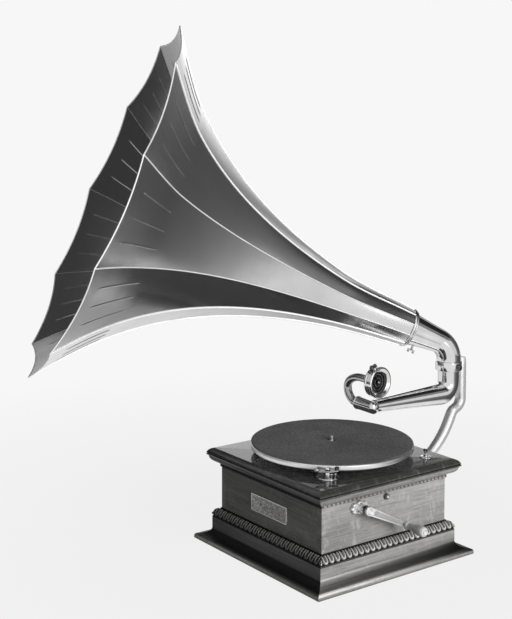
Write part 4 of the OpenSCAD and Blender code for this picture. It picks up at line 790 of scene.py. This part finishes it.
def makeBracket():
    s = bracketSet
    flat = bracketPath(s)
    path = np.c_[0 * flat[:, 0], flat]
    outline = roundedRect(s["thick"] / 2, s["wide"] / 2, s["corner"], 9)
    section = soften(outline, 0.2, True, 2) + [s["inward"], 0]
    size = np.ones(len(path))
    size[-1] = s["topShare"]
    bar = carried(path, section[None] * size[:, None, None], (1, 0, 0))
    footSpot = (turn("x", 90) @ np.diag([1.0, 1.0, -1.0]), np.array([0, s["footY"], s["startZ"]]))
    foot = plateSkin(25, 35, 6, [(0, 0.02), (0, 6.2), (0.6, 7.4), (1.8, 8)], footSpot)
    addPiece("bracketBar", [tube(bar), foot], barNickel, "cabinet", ["bracket"])
    ring = lathe([(21.5, 294), (25.6, 294), (26.5, 295), (26.5, 311.5), (25.6, 312.5), (22.8, 312.5),
                  (22.8, 301), (21.5, 301)], 0.5, standing(*columnAt), 72, True)
    lug = plateSkin(6, 7.2, 1.5, [(0.4, 0), (0, 0.4), (0, 4.4), (0.4, 4.8)],
                    (turn("x", -90), np.array([0, s["lugY"], s["screwZ"]])))
    addPiece("bracketCollar", [ring, lug], brightNickel, "cabinet", ["bracket_collar"])
    # round-headed screws: two in the collar's sides and four in the foot
    head = [(0, 0), (4.2, 0), (4.2, 1.6), (2.4, 2), (2.4, 3.2), (5, 3.6), (5.2, 5.4), (4.2, 6.8), (0, 7.2)]
    dome = [(0, 0), (4.5, 0), (4.4, 1.2), (3, 2.3), (0, 2.5)]
    collarSpots = [(turn("y", 90 * k), columnAt + [s["screwX"] * k, 0, s["screwZ"]]) for k in (-1, 1)]
    footSpots = [(turn("x", -90), np.array([x, s["holeY"], z], float)) for x, z in s["holes"]]
    screws = [lathe(head, 0.6, spot, 28, False, 4) for spot in collarSpots]
    screws += [lathe(dome, 0.5, spot, 24, False, 4) for spot in footSpots]
    addPiece("fixingScrews", screws, darkSteel, "cabinet", ["fixing_screws"])


makeBracket()
print("bracket made")

# the cabinet: plain walls, and mouldings mitred round all four sides; the painted light and shade given per
# side runs right, back, left, front
cabinetSet = {"box": 148, "wall": 12, "top": 163, "against": 148.05, "paintedWallLight": (0.94, 1, 1, 0.85),
              "grainStep": (417, 60, 33, 0)}
stations = np.array([-400, -120, -60, 0, 60, 120, 400.0])
sideways = np.array([[0, 0, 1.0], [1, 0, 0], [0, 1, 0]])


# one side of a moulding facing +X: a profile of (out, height, painted light and shade) carried along Y, cut
# at 45 degrees
def mitred(profile):
    p = np.array(profile, float)
    y = np.clip(stations[:, None] * np.ones(len(p)), -p[:, 0], p[:, 0])
    out, high, paintedLight = (np.broadcast_to(column, y.shape) for column in p.T)
    arc = np.r_[0, np.cumsum(np.linalg.norm(np.diff(p[:, :2], axis=0), axis=1))]
    grain = np.stack([y, np.broadcast_to(arc, y.shape), np.zeros(y.shape), paintedLight], -1)
    return np.stack([out, y, high], -1), grain


# one side turned to all four, each with grain of its own
def fourSides(rings, grain):
    skins = []
    for k in range(4):
        points, faces = tube(spun(rings, 90 * k))
        skins.append((points, faces, grain.reshape(-1, 4) + k * np.array(cabinetSet["grainStep"])))
    return skins


# grain coordinates for a flat board: along, across, through, with painted light and shade left at 1
def boardGrain(points, along, across, shift):
    order = points[:, [along, across, 3 - along - across]]
    return np.c_[order + shift, np.ones(len(points))]


# a board on side k: a plate facing out at this distance, place along the side and height; tone is the side's
# painted light and shade
def sideBoard(k, size, steps, at, per, shift, tone):
    spot = (turn("z", 90 * k) @ sideways, spun(np.array(at), 90 * k))
    points, faces = plateSkin(*size, steps, spot, per)
    grain = boardGrain(points, 1 - k % 2, 2, shift)
    grain[:, 3] *= tone
    return points, faces, grain


# the walls: boards with eased edges, two of them between the other two
def makeWalls():
    c = cabinetSet
    steps = [(0, 0.02), (0, c["wall"] - 0.5), (0.5, c["wall"])]
    at = [c["box"] - c["wall"], 0, c["top"] / 2]
    walls = [("wallRight", "cabinet_right"), ("wallBack", "cabinet_back"), ("wallLeft", "cabinet_left"),
             ("wallFront", "cabinet_front")]
    for k, (name, node) in enumerate(walls):
        half = c["box"] if k % 2 == 0 else c["box"] - c["wall"] - 0.05
        # each wall gets its side's painted light: the front painted in shade, the right a little darker
        board = sideBoard(k, (half, c["top"] / 2, 0.4), steps, at, 3, [977 * k, 131 * k, 0],
                          c["paintedWallLight"][k])
        addPiece(name, [board], oakWalls, "cabinet", [node])


makeWalls()

# the nose is painted light, and the hollow painted in shade by the angle round it
plinthSet = {"base": 186, "nose": 4.8, "fascia": 161, "top": 46, "hollowTop": 23.4, "paintedNoseHighlight": 1.2,
             "paintedHollowShade": ((0, 1.2), (15, 0.35), (45, 0.16), (74, 0.18), (84, 0.4), (90, 1.2)), "toe": 9}


# the plinth: a rounded nose and a hollow, a quarter of an oval, that runs up into the fascia; painted shade
# lies in the hollow, on the foot and in the lines under the carving, with a painted highlight on the nose
def makePlinth():
    s = plinthSet
    base, nose, fascia, top, low = (s[key] for key in ("base", "nose", "fascia", "top", "hollowTop"))
    back = cabinetSet["against"]
    a = np.radians(np.linspace(0, 80, 10))
    tip = np.c_[base - nose * (1 - np.cos(a)), nose * (1 + np.sin(a)), np.full(10, s["paintedNoseHighlight"])]
    b = np.radians(np.linspace(88, 0, 18))
    wide, high = base - nose + 0.6 - fascia, low - 2 * nose - 0.1
    paintedLightTone = np.interp(np.degrees(b), *np.transpose(s["paintedHollowShade"]))
    hollow = np.c_[fascia + wide * (1 - np.cos(b)), low - high * np.sin(b), paintedLightTone]
    foot = [(back, 0.02, 0.6), (base - 0.8, 0.02, 0.5), (base, 1, 0.6)]
    crown = [(fascia, low + 1.5, 1.2), (fascia, top - 2.6, 1.35), (fascia, top - 2.2, 0.2),
             (fascia - 0.6, top - 1.7, 0.1), (fascia, top - 1.2, 0.3), (fascia - 0.4, top, 0.3),
             (back, top, 0.1)]
    skins = fourSides(*mitred(np.concatenate([foot, tip, hollow, crown])))
    # painted light by side: on the right the hollow is painted light at the front and dark at the back,
    # standing in for a reflection; the front is painted in shade, with its toe painted light
    for (points, _, grain), side in zip(skins, ("right", "back", "left", "front")):
        inHollow = easeIn((low + 3 - points[:, 2]) / 6) * easeIn((points[:, 2] - 5) / 3)
        rearward = np.clip(points[:, 1] / base, -1, 1)
        onToe = easeIn((s["toe"] - points[:, 2]) / 3)
        paintedSideLight = {"right": 1.1 + inHollow * (0.7 - 1.8 * rearward),
                 "front": 0.45 - 0.2 * inHollow + 2.4 * onToe}
        grain[:, 3] *= paintedSideLight.get(side, 0.8)
    addPiece("plinth", skins, oakMoulds, "cabinet", ["plinth_moulding"])


makePlinth()

# tone gives each side painted light and shade: the right painted light, the front painted in shade
carvedSet = {"out": 161, "low": 46.1, "roundR": 11.6, "tongues": 23, "inset": 6, "high": 3.0,
             "tone": (1.25, 0.7, 0.7, 0.36), "columns": (0.12, 0.2, 0.25, 0.3, 0.36, 0.42, 0.48)}


# half the width of an opening with a round lower end, over the height v
def arched(v, half, low, roundHigh):
    return half * np.sqrt(np.clip(1 - np.clip(1 - (v - low) / roundHigh, 0, 1) ** 2, 0, 1))[None, :]


# the carved moulding: a quarter round cut into a row of hollow tongues with round lower ends, under a fillet;
# painted light on the tongues' ridges, brighter towards the top where less light falls, and painted shade in
# the wells and on the fillet
def makeCarving():
    s = carvedSet
    n, r, box = s["tongues"], s["roundR"], cabinetSet["box"]
    pitch = 2 * (s["out"] - s["inset"]) / n
    middles = np.arange(n + 2)[:, None] - (n + 1) / 2
    half = np.array(s["columns"])
    y = (middles + np.r_[-half[::-1], 0, half]).ravel() * pitch
    y = np.unique(np.clip(y, -s["out"] - 0.1, s["out"] + 0.1))
    v = np.linspace(0, 1, 17)
    a = np.radians(90 * v)
    phase = np.abs((y / pitch + (n + 1) / 2 + 0.5) % 1 - 0.5)[:, None]
    tongue, well = arched(v, 0.43, 0.06, 0.3), arched(v, 0.22, 0.26, 0.25)
    ridge = easeIn((tongue - phase) / 0.1) - 0.85 * easeIn((well - phase) / 0.1 + 0.5) * (v > 0.27)
    ridge = np.clip(ridge, 0, 1) * easeIn((0.93 - v) / 0.12)[None, :]
    lift = s["high"] * ridge
    out, up = box + (r + lift) * np.cos(a), s["low"] + (r + 0.6 + lift) * np.sin(a)
    top = s["low"] + r + 0.6
    fillet = np.array([(box + 1.3, top + 0.3), (box + 1.3, top + 3.4), (cabinetSet["against"], top + 3.6),
                       (cabinetSet["against"], s["low"])])
    flat = (len(y), len(fillet))
    out = np.c_[out, np.broadcast_to(fillet[:, 0], flat)]
    up = np.c_[up, np.broadcast_to(fillet[:, 1], flat)]
    across = np.clip(y[:, None], -out, out)
    paintedLightTone = np.c_[0.03 + ridge * (1.6 + 1.8 * v), np.full(flat, 0.06)]
    skins = fourSides(np.stack([out, across, up], -1), np.stack([across, up, 0 * up, paintedLightTone], -1))
    for skin, tone in zip(skins, s["tone"]):
        skin[2][:, 3] *= tone
    addPiece("carvedMoulding", skins, oakMoulds, "cabinet", ["carved_moulding"])


makeCarving()

# the quarter round is painted in shade at its top, under the slab; tone and the band's tone give each side
# painted light and shade, the front band and dentils painted nearly black as in shadow
corniceSet = {"low": 141, "bandTop": 149, "out": 150, "round": 16, "top": 162.95, "dentils": 31,
              "dentilUp": 3.4, "dentil": (3.1, 1.7, 0.5),
              "paintedRoundShade": ((0, 0.15), (10, 0.9), (60, 0.95), (90, 0.6)), "tone": (1.6, 0.8, 0.8, 0.52),
              "paintedBandLight": (1.3, 0.5, 0.5, 0.12)}


# the cornice: a flat band, a bold quarter round over it, and a row of dentils standing on the band; painted
# shade lies under the slab, in the quirks and between the dentils
def makeCornice():
    s = corniceSet
    b = np.radians(np.linspace(90, 0, 14))
    paintedLightTone = np.interp(np.degrees(b), *np.transpose(s["paintedRoundShade"]))
    low, top, out, back = s["low"], s["bandTop"], s["out"], cabinetSet["against"]
    bold = np.c_[out + s["round"] * np.cos(b), top + (s["top"] - top) * (1 - np.sin(b)), paintedLightTone]
    band = [(back, low, 0.3), (out - 0.8, low, 0.5), (out, low + 0.8, 1.1), (out, low + 1.3, 0.9),
            (out, low + 1.5, 0.5), (out, low + 5.3, 0.5), (out, low + 5.5, 0.9), (out, top - 1.4, 1.1),
            (out - 0.7, top - 0.9, 0.15)]
    skins = fourSides(*mitred(np.concatenate([band, bold, [(back, s["top"], 0.5)]])))
    for (points, _, grain), paintedBandLight, tone in zip(skins, s["paintedBandLight"], s["tone"]):
        grain[:, 3] *= np.where(points[:, 2] < top - 0.5, paintedBandLight, tone)
    steps = [(0.2, -0.2), (0.1, 0.7), (0.6, 1.2)]
    places = (np.arange(s["dentils"]) - (s["dentils"] - 1) / 2) * 2 * out / (s["dentils"] + 0.6)
    for k in range(4):
        skins += [sideBoard(k, s["dentil"], steps, [out, at, low + s["dentilUp"]], 2,
                            [417 * k, 60 * k + 9, 0], s["paintedBandLight"][k])
                  for at in places]
    addPiece("cornice", skins, oakMoulds, "cabinet", ["cornice_moulding"])


makeCornice()

boardSet = {"half": 169.5, "low": 163, "top": 177, "holeR": 12, "corner": 1.2, "per": 9,
            "shift": [55, 210, 0]}


# the motor board: a slab with two fine quirks and a long rounded top edge, and a round hole for the spindle;
# painted shade lies in the quirks and under the slab
def makeMotorBoard():
    s = boardSet
    half, low, top, per = s["half"], s["low"], s["top"], s["per"]
    edge = np.array([(26, 0, 0.3), (1.4, 0, 0.4), (0.4, 0.5, 0.9), (0, 1.2, 1.1), (0, 2.8, 1.1),
                     (0.4, 3.5, 0.6), (1.7, 3.8, 0.08), (1.7, 4.5, 0.08), (0.7, 4.9, 0.7), (0.8, 5.8, 1.1),
                     (1.6, 7.4, 1.1), (3, 9.3, 1.1), (4.8, 11, 1.1), (7.2, 12.5, 1.1), (10, 13.5, 1.0),
                     (11, 13.9, 0.4), (11.7, 13.9, 0.4), (13, 14, 1)])
    loops = []
    for inset, high, _ in edge:
        outline = roundedRect(half - inset, half - inset, max(s["corner"] - inset, 0.3), per)
        loops.append(np.c_[outline, np.full(4 * per, low + high)])
    angle = np.arctan2(loops[0][:, 1], loops[0][:, 0])
    rim = s["holeR"] * np.c_[np.cos(angle), np.sin(angle)]
    hole = [np.c_[rim, np.full(4 * per, h)] for h in (top, low)]
    points, faces = sheet(np.array(loops + hole), True, True)
    grain = boardGrain(points, 1, 0, s["shift"])
    # the edge's third column, and the hole, give painted light and shade
    grain[:, 3] = np.repeat(np.r_[edge[:, 2], 1, 0.5], 4 * per)
    addPiece("motorBoard", [(points, faces, grain)], oakTop, "cabinet", ["motor_board"])


makeMotorBoard()

plateSizes = {"at": (0, -148.0, 101), "size": (52, 15.5, 2), "pinX": 48.5}


# the bare plate: a raised border round a sunk field, with two pins
def makePlate():
    s = plateSizes
    spot = (turn("x", 90), np.array(s["at"]))
    border = [(0, 0.02), (0, 0.8), (0.5, 1.2), (2.2, 1.2), (2.8, 0.75)]
    pin = [(0, 0.9), (1.5, 0.9), (1.3, 1.5), (0, 1.8)]
    pins = [lathe(pin, 0.3, moved(spot, x, 0, 0), 16) for x in (-s["pinX"], s["pinX"])]
    field = plateSkin(*s["size"], border, spot)
    addPiece("barePlate", [field] + pins, bronzedPlate, "cabinet", ["name_plate"])
    wide, high, corner = s["size"]
    loops = np.array([np.c_[roundedRect(wide - d, high - d, corner), np.full(24, h)]
                      for d, h in ((0.1, 1.1), (0.1, 1.7), (1.3, 1.7), (1.3, 0.7))])
    addPiece("plateFrame", [sheet(placed(loops, spot), True, True)], dullNickel, "cabinet")


makePlate()


# the stud on the crank side: a turned button on a wide black base, which is partly the stud's own iron and
# partly a painted shadow
def makeStud():
    spot = (turn("y", 90), np.array([148.0, 0, 135]))
    stud = lathe([(0, 0), (5.8, 0), (5.8, 1.2), (4.6, 1.8), (4.6, 2.6), (5.4, 3.4), (5.2, 5.2), (0, 5.2)],
                 0.5, spot, 28, False, 4)
    addPiece("sideStud", [stud], japannedIron, "cabinet", ["side_stud"])
    button = lathe([(0, 5.1), (2.7, 5.1), (2.7, 6.2), (2, 7.2), (0, 7.5)], 0.4, spot, 28, False, 4)
    addPiece("studButton", [button], wornNickel, "cabinet")


makeStud()
print("cabinet made")


# the turntable: a rolled rim, a felt disc with a soft edge, and the spindle with its pin
def makeTurntable():
    rim = lathe([(14, 183), (14, 196.5), (146.4, 196.5), (146.4, 189.6), (147.2, 189), (150.9, 189),
                 (152.3, 190.8), (152.4, 194), (152.3, 197.6), (151.2, 199.5), (6.1, 199.5), (6.1, 183)],
                1.2, upright, 160, True, 5)
    addPiece("platterDisc", [rim], satinNickel, "turntable", ["platter"])
    cloth = lathe([(6.1, 199.55), (151.2, 199.55), (151.5, 200.3), (150.4, 201), (146, 201.05),
                   (6.1, 201.05)], 0.7, upright, 160, True, 4)
    addPiece("feltDisc", [cloth], woolFelt, "turntable", ["turntable_felt"])
    rod = lathe([(0, 47), (6, 47), (6, 180), (11, 180), (11, 182.95), (6, 182.95), (6, 199.4), (4.55, 199.5),
                 (4.55, 201), (3.55, 201.4), (3.55, 208), (2.4, 209.4), (0, 209.5)], 0.4, upright, 40)
    addPiece("spindleRod", [rod], turnedSteel, "turntable", ["spindle"])


makeTurntable()
print("turntable made")

# the crank: a lobed rosette, a strap arm sunk along its middle, and a turned grip
crankSet = {"lobes": 8, "lobeDeep": 2.2, "stretch": 0.72, "throw": 95, "hubR": 7.5, "tipR": 4.5,
            "at": (148, -64.4, 128.5), "field": (4.1, 1.8), "fieldFrom": 16, "fieldLong": 70}


# a lobed disc turned about the spot's Z: each profile point is a radius, a share of the lobes
# and the stretch, and a height
def lobed(profile, lobes, deep, spot, stretch=0.0, around=128):
    p = np.array(profile, float)
    a = fullTurn(around)
    dip = 1 - np.abs(np.cos(lobes * a / 2)) ** 0.8
    r = p[:, :1] - p[:, 1:2] * deep * dip[None]
    y = r * np.sin(a) * (1 + stretch * p[:, 1:2])
    points, faces = sheet(np.stack([r * np.cos(a), y, np.repeat(p[:, 2:], around, 1)], -1), True, True)
    return placed(points, spot), faces


def makeCrank():
    s = crankSet
    face = (turn("y", 90), np.array(s["at"]))
    petals = [(5.1, 0, 0.02), (11.6, 1, 0.02), (12.1, 1, 0.8), (12.1, 1, 4.4), (11.7, 1, 5.8),
              (10.8, 0.96, 6.9), (9.6, 0.9, 7.3), (8.4, 0.8, 6.6), (7.8, 0.6, 4.8), (7.4, 0.3, 4.2),
              (7.2, 0, 4.6), (7.2, 0, 11), (6.8, 0, 11.7), (6.2, 0, 12), (5.1, 0, 12)]
    rosette = lobed(petals, s["lobes"], s["lobeDeep"], face, s["stretch"])
    rear = turned([(5.1, -12), (8.5, -12), (8.5, -0.05), (5.1, -0.05)], face, 40)
    addPiece("crankRosette", [rosette, rear], wornNickel, "cabinet", ["crank_escutcheon"])
    sunk = [(2.9, -1.5), (2.3, -2.5), (0.7, -2.5), (0, -1.9), (0, 1.9), (0.7, 2.5), (2.3, 2.5), (2.9, 1.5)]
    strap = strapSkin(s["hubR"], s["tipR"], s["throw"], sunk, crankSpot)
    ring = lathe([(5.1, -2.4), (8.5, -2.4), (8.5, 2.2), (7.6, 3.2), (6.2, 3.4), (5.6, 2.8), (5.1, 2.8)], 0.6,
                 crankSpot, 48, True, 4)
    shaftEnd = lathe([(0, 2.4), (5, 2.4), (4.8, 2.9), (0, 3.1)], 0.3, crankSpot, 32)
    eye = moved(crankSpot, s["throw"], 0, 0)
    pin = lathe([(0, -3.4), (3.6, -3.4), (4, -2.6), (4, 2.6), (3, 2.62), (3, 50.9), (4.5, 50.95), (4.2, 52),
                 (0, 52.4)], 0.3, eye, 32)
    addPiece("crankArm", [strap, ring, shaftEnd, pin], wornNickel, "crank", ["crank_arm"])
    hub = lathe([(5.1, -9.5), (7.4, -9.5), (7.9, -8.8), (7.9, -2.45), (5.1, -2.45)], 0.5, crankSpot, 48,
                True, 4)
    addPiece("crankHub", [hub], darkSteel, "crank")
    # the arm's sunk field is much darker than its rim
    field = strapSkin(*s["field"], s["fieldLong"], [(0, 1.3), (0, 1.7), (0.3, 1.85)],
                      moved(crankSpot, s["fieldFrom"], 0, 0))
    addPiece("crankField", [field], darkFieldNickel, "crank")
    # the grip: a ferrule, a bead and a waist, swelling out towards its rounded end
    grip = lathe([(3.05, 2.7), (6.6, 2.7), (7.1, 3.4), (7.1, 6.4), (6.5, 7), (7.4, 8.2), (6.4, 9.6),
                  (5.9, 12), (6.2, 17), (7.4, 25), (8.9, 34), (9.5, 41), (9.2, 46), (7.6, 49.6), (5, 50.5),
                  (3.05, 50.5)], 1.6, eye, 56, True, 5)
    addPiece("crankGrip", [grip], gripWood, "grip", ["crank_grip"])


makeCrank()
print("crank made")

# the brake and the speed screw on the motor board
controlSet = {"pivot": (118.48, -110.48), "plate": (107.5, -100.3), "knob": (107.48, -125.48),
              "pad": (125.2, -94.4), "speed": (123, 123), "pins": ((123.6, -105.6), (125.6, -98.4)),
              "hubR": 5.4, "knobR": 5, "knobZ": 194.5, "lobes": 8, "lobeDeep": 1.4}


# the brake: its plate with a post and two pins, a lever of two arms with a knob, and a pad
def makeBrake():
    s = controlSet
    base = lathe([(0, 177.02), (20, 177.02), (20, 178.2), (19, 179), (0, 179)], 0.5, standing(*s["plate"]),
                 64, False, 4)
    post = lathe([(0, 178.9), (4.5, 178.9), (4.5, 190.5), (3, 190.6), (3, 194.6), (4.6, 195), (4.8, 198.2),
                  (3.6, 199.6), (0, 200)], 0.5, standing(*s["pivot"]), 32, False, 4)
    pin = [(0, 178.9), (1.7, 178.9), (1.7, 186.4), (2.2, 187), (1.6, 188.4), (0, 188.6)]
    pins = [lathe(pin, 0.4, standing(*at), 20) for at in s["pins"]]
    addPiece("brakeBase", [base, post] + pins, brightNickel, "cabinet", ["brake_base"])
    steps = [(0.4, 191), (0, 191.4), (0, 193.6), (0.4, 194)]
    skins = []
    for target, r in ((s["knob"], 2.6), (s["pad"], 3.2)):
        dx, dy = np.subtract(target, s["pivot"])
        spot = (turn("z", math.degrees(math.atan2(dy, dx))), np.array([*s["pivot"], 0]))
        skins.append(strapSkin(s["hubR"], r, math.hypot(dx, dy), steps, spot, 12))
    ball = np.radians(np.linspace(-90, 90, 17))
    knob = np.c_[s["knobR"] * np.cos(ball), s["knobZ"] + s["knobR"] * np.sin(ball)]
    skins.append(turned(knob, standing(*s["knob"]), 32))
    addPiece("brakeLever", skins, dullNickel, "brake", ["brake_lever"])
    pad = lathe([(0, 194.05), (4, 194.05), (4, 198.4), (3.4, 199), (0, 199)], 0.4, standing(*s["pad"]), 32,
                False, 4)
    addPiece("brakePad", [pad], brakeLeather, "brake", ["brake_pad"])


# the speed screw's base: a low lobed rose
def makeSpeedBase():
    s = controlSet
    rose = [(2.9, 0, 177.02), (10.6, 1, 177.02), (11, 1, 177.6), (10.8, 1, 178.6), (9.4, 0.7, 179.4),
            (6, 0, 179.5), (2.9, 0, 179.5)]
    base = lobed(rose, s["lobes"], s["lobeDeep"], standing(*s["speed"]))
    addPiece("speedBase", [base], brightNickel, "cabinet", ["speed_base"])


makeBrake()
makeSpeedBase()
print("brake and speed base made")

# the motor and the inner pieces keep their own shapes, with finishes of their own
insideFinishes = [
    (oakInside, ["bottom_board"]),
    (japannedIron, ["motor_top_plate", "motor_bottom_plate"]),
    (turnedSteel, ["motor_pillars", "spindle_pinion", "mid_arbor", "winding_arbor", "winding_shaft",
                   "winding_pinion", "governor_worm", "governor_springs", "mainspring", "regulator_lever"]),
    (plainBrass, ["governor_posts", "governor_wheel", "mid_wheel", "barrel_gear", "spring_barrel",
                  "barrel_cover", "winding_wheel", "governor_weights", "governor_disc"]),
    (brightNickel, ["speed_screw"]),
]
for finish, names in insideFinishes:
    for name in names:
        slots = nodes[name].data.materials
        slots.clear()
        slots.append(finish)
print("inner finishes set")

# the room: a pale floor, one key lamp low on the crank side and a soft fill
roomSet = {"white": 0.93, "ambient": 0.06, "floorR": 9, "floorTone": 0.35, "fadeOver": 3.0,
           "fade": ((0.12, 0.9), (0.5, 1)), "lampAim": (0, 0, 0.3),
           "lamps": (("keyLamp", (3.4, 0.05, 0.95), 2.2, 320), ("fillLamp", (-0.9, -3.0, 2.2), 2.5, 2))}
plain = (1, 1, 1, 1)


# the world: pale to the camera and to gloss, dim as a light
def makeWorld(s):
    world = bpy.data.worlds.new("room")
    world.use_nodes = True
    tree = world.node_tree
    tree.nodes.clear()
    path = knot(tree, "ShaderNodeLightPath").outputs
    through = maths(tree, "MAXIMUM", path["Is Glossy Ray"], path["Is Transmission Ray"])
    seen = maths(tree, "MAXIMUM", path["Is Camera Ray"], through)
    soft, pale = (knot(tree, "ShaderNodeBackground", {"Color": plain, "Strength": s[key]}).outputs[0]
                  for key in ("ambient", "white"))
    both = knot(tree, "ShaderNodeMixShader", {0: seen, 1: soft, 2: pale}).outputs[0]
    knot(tree, "ShaderNodeOutputWorld", {"Surface": both})
    bpy.context.scene.world = world


# the floor: pale card that fades into the background, with the shadow kept near the object
def makeFloor(s):
    floor, tree = newTree("paleFloor")
    path = knot(tree, "ShaderNodeLightPath").outputs
    far = knot(tree, "ShaderNodeVectorMath", {0: objectAt(tree)}, operation="LENGTH").outputs["Value"]
    fade = greys(tree, maths(tree, "DIVIDE", far, s["fadeOver"]), *s["fade"])
    looked = maths(tree, "MAXIMUM", path["Is Camera Ray"], path["Is Glossy Ray"])
    card = knot(tree, "ShaderNodeBsdfDiffuse", {"Color": (*grey(s["floorTone"]), 1)}).outputs[0]
    glow = knot(tree, "ShaderNodeEmission", {"Color": plain, "Strength": s["white"]}).outputs[0]
    both = knot(tree, "ShaderNodeMixShader", {0: maths(tree, "MULTIPLY", fade, looked), 1: card, 2: glow})
    knot(tree, "ShaderNodeOutputMaterial", {"Surface": both.outputs[0]})
    edge = circle(s["floorR"], 64)[0]
    disc = bpy.data.meshes.new("floor")
    disc.from_pydata(np.c_[edge, 0 * edge[:, 0]].tolist(), [], [list(range(len(edge)))])
    disc.materials.append(floor)
    addObject("floor", disc)


# round lamps turned towards the object, unseen by the camera and by gloss
def makeLamps(s):
    for name, place, size, power in s["lamps"]:
        lamp = bpy.data.lights.new(name, "AREA")
        lamp.shape = "DISK"
        lamp.size = size
        lamp.energy = power
        holder = addObject(name, lamp)
        holder.location = place
        x, y, z = np.subtract(s["lampAim"], place)
        holder.rotation_euler = (math.atan2(math.hypot(x, y), -z), 0, math.atan2(-x, y))
        holder.visible_camera = False
        holder.visible_glossy = False


# what gloss sees round about, by azimuth: a tone near the level, one higher up and one towards the top,
# and the heights where they change; the card lies on the floor
glossSet = {"radius": 5.0, "middle": 0.35, "over": 0.9, "overFrom": 76, "overBlend": 10, "blend": 4,
            "topBlend": 5,
            "low": [(-180, 0.35), (-168, 0.3), (-158, 0.045), (-108, 0.045), (-96, 0.85), (-16, 0.9), (-9, 3),
                    (3, 3), (9, 0.95), (20, 0.8), (48, 0.75), (56, 0.25), (60, 0.15), (75, 0.1), (97, 0.09),
                    (108, 0.2), (115, 0.23), (120, 0.32), (126, 0.68), (131, 0.88), (138, 1.4), (158, 1.4),
                    (170, 0.45), (180, 0.35)],
            "high": [(-180, 0.055), (-150, 0.045), (-135, 0.5), (-110, 0.95), (14, 0.95), (19, 0.1),
                     (37, 0.12), (42, 0.29), (46, 0.27), (60, 0.16), (75, 0.1), (92, 0.1), (104, 0.2),
                     (108, 0.9), (112, 0.95), (116, 0.5), (122, 0.25), (130, 0.05), (180, 0.055)],
            "top": [(-180, 0.05), (-150, 0.06), (-130, 0.6), (-110, 0.95), (-5, 0.95), (14, 0.6), (24, 0.05),
                    (60, 0.02), (160, 0.02), (180, 0.05)],
            "change": [(-180, 20), (-160, 30), (-130, 48), (-20, 40), (5, 36), (14, 26), (24, 20), (80, 20),
                       (105, 19), (112, 19.3), (116, 22), (121, 23), (130, 22), (180, 20)],
            "topFrom": [(-180, 40), (0, 40), (15, 36), (20, 31), (46, 32), (52, 27), (70, 22), (97, 22),
                        (106, 24), (118, 24), (130, 36), (180, 40)],
            "card": [(-172, 0.9), (-160, 0.1), (-105, 0.08), (-85, 0.9), (22, 0.9), (29, 0.37), (40, 0.19),
                     (50, 0.13), (60, 0.1), (75, 0.075), (90, 0.1), (105, 0.37), (114, 0.7), (120, 0.75),
                     (128, 0.5), (148, 0.52), (156, 0.62), (164, 0.78), (172, 0.88), (188, 0.9)],
            "cardFrom": [(-172, 1.3), (-85, 1.3), (10, 0.5), (118, 0.5), (126, 0.34), (165, 0.34),
                         (188, 1.3)],
            "near": [(-172, 0.4), (-135, 0.4), (-115, 0.9), (150, 0.9), (165, 0.4), (188, 0.4)],
            "nearTo": 0.36, "nearBlend": 0.12, "cardAt": 0.003, "cardR": (0.19, 4.6), "cardShare": 0.95,
            "cardBlend": 0.3}


# a sheet that only gloss sees, glowing by the tone kept at its points
def addGloss(name, grid, tone):
    points, faces = sheet(grid)
    mesh = bpy.data.meshes.new(name)
    mesh.from_pydata(points.tolist(), [], faces)
    mesh.attributes.new("tone", "FLOAT", "POINT").data.foreach_set("value", tone.ravel())
    cloth, tree = newTree(name)
    glow = knot(tree, "ShaderNodeEmission", {"Color": plain, "Strength": kept(tree, "tone")})
    knot(tree, "ShaderNodeOutputMaterial", {"Surface": glow.outputs[0]})
    mesh.materials.append(cloth)
    wall = addObject(name, mesh)
    wall.visible_camera = False
    wall.visible_diffuse = False
    wall.visible_shadow = False
    wall.visible_transmission = False


# the settings under these names, read off over azimuth
def readOff(s, a, names):
    return (np.interp(a, *np.transpose(s[name])) for name in names)


# the dome blends the low tone into the high one, that into the top one, and all into white overhead;
# the card blends its near tone into white, and that into its far tone
def makeGloss(s):
    a, e = np.meshgrid(np.linspace(-180, 180, 181), np.linspace(-4, 90, 95))
    low, high, top, change, topFrom = readOff(s, a, ("low", "high", "top", "change", "topFrom"))
    tone = low + (high - low) * easeIn((e - change) / s["blend"] + 0.5)
    tone = tone + (top - tone) * easeIn((e - topFrom) / s["topBlend"])
    tone = tone + (s["over"] - tone) * easeIn((e - s["overFrom"]) / s["overBlend"])
    a, e = np.radians(a), np.radians(e)
    dome = np.stack([np.cos(e) * np.cos(a), np.cos(e) * np.sin(a), np.sin(e)], -1)
    addGloss("glossDome", s["radius"] * dome + [0, 0, s["middle"]], tone)
    a, r = np.meshgrid(np.linspace(-172, 188, 241), np.linspace(*s["cardR"], 100))
    near, far, farFrom = readOff(s, a, ("near", "card", "cardFrom"))
    tone = near + (s["over"] - near) * easeIn((r - s["nearTo"]) / s["nearBlend"])
    tone = tone + (far - tone) * easeIn((r / farFrom - s["cardShare"]) / s["cardBlend"])
    a = np.radians(a)
    addGloss("glossCard", np.stack([r * np.cos(a), r * np.sin(a), 0 * r + s["cardAt"]], -1), tone)


makeWorld(roomSet)
makeFloor(roomSet)
makeLamps(roomSet)
makeGloss(glossSet)
print("room lit")
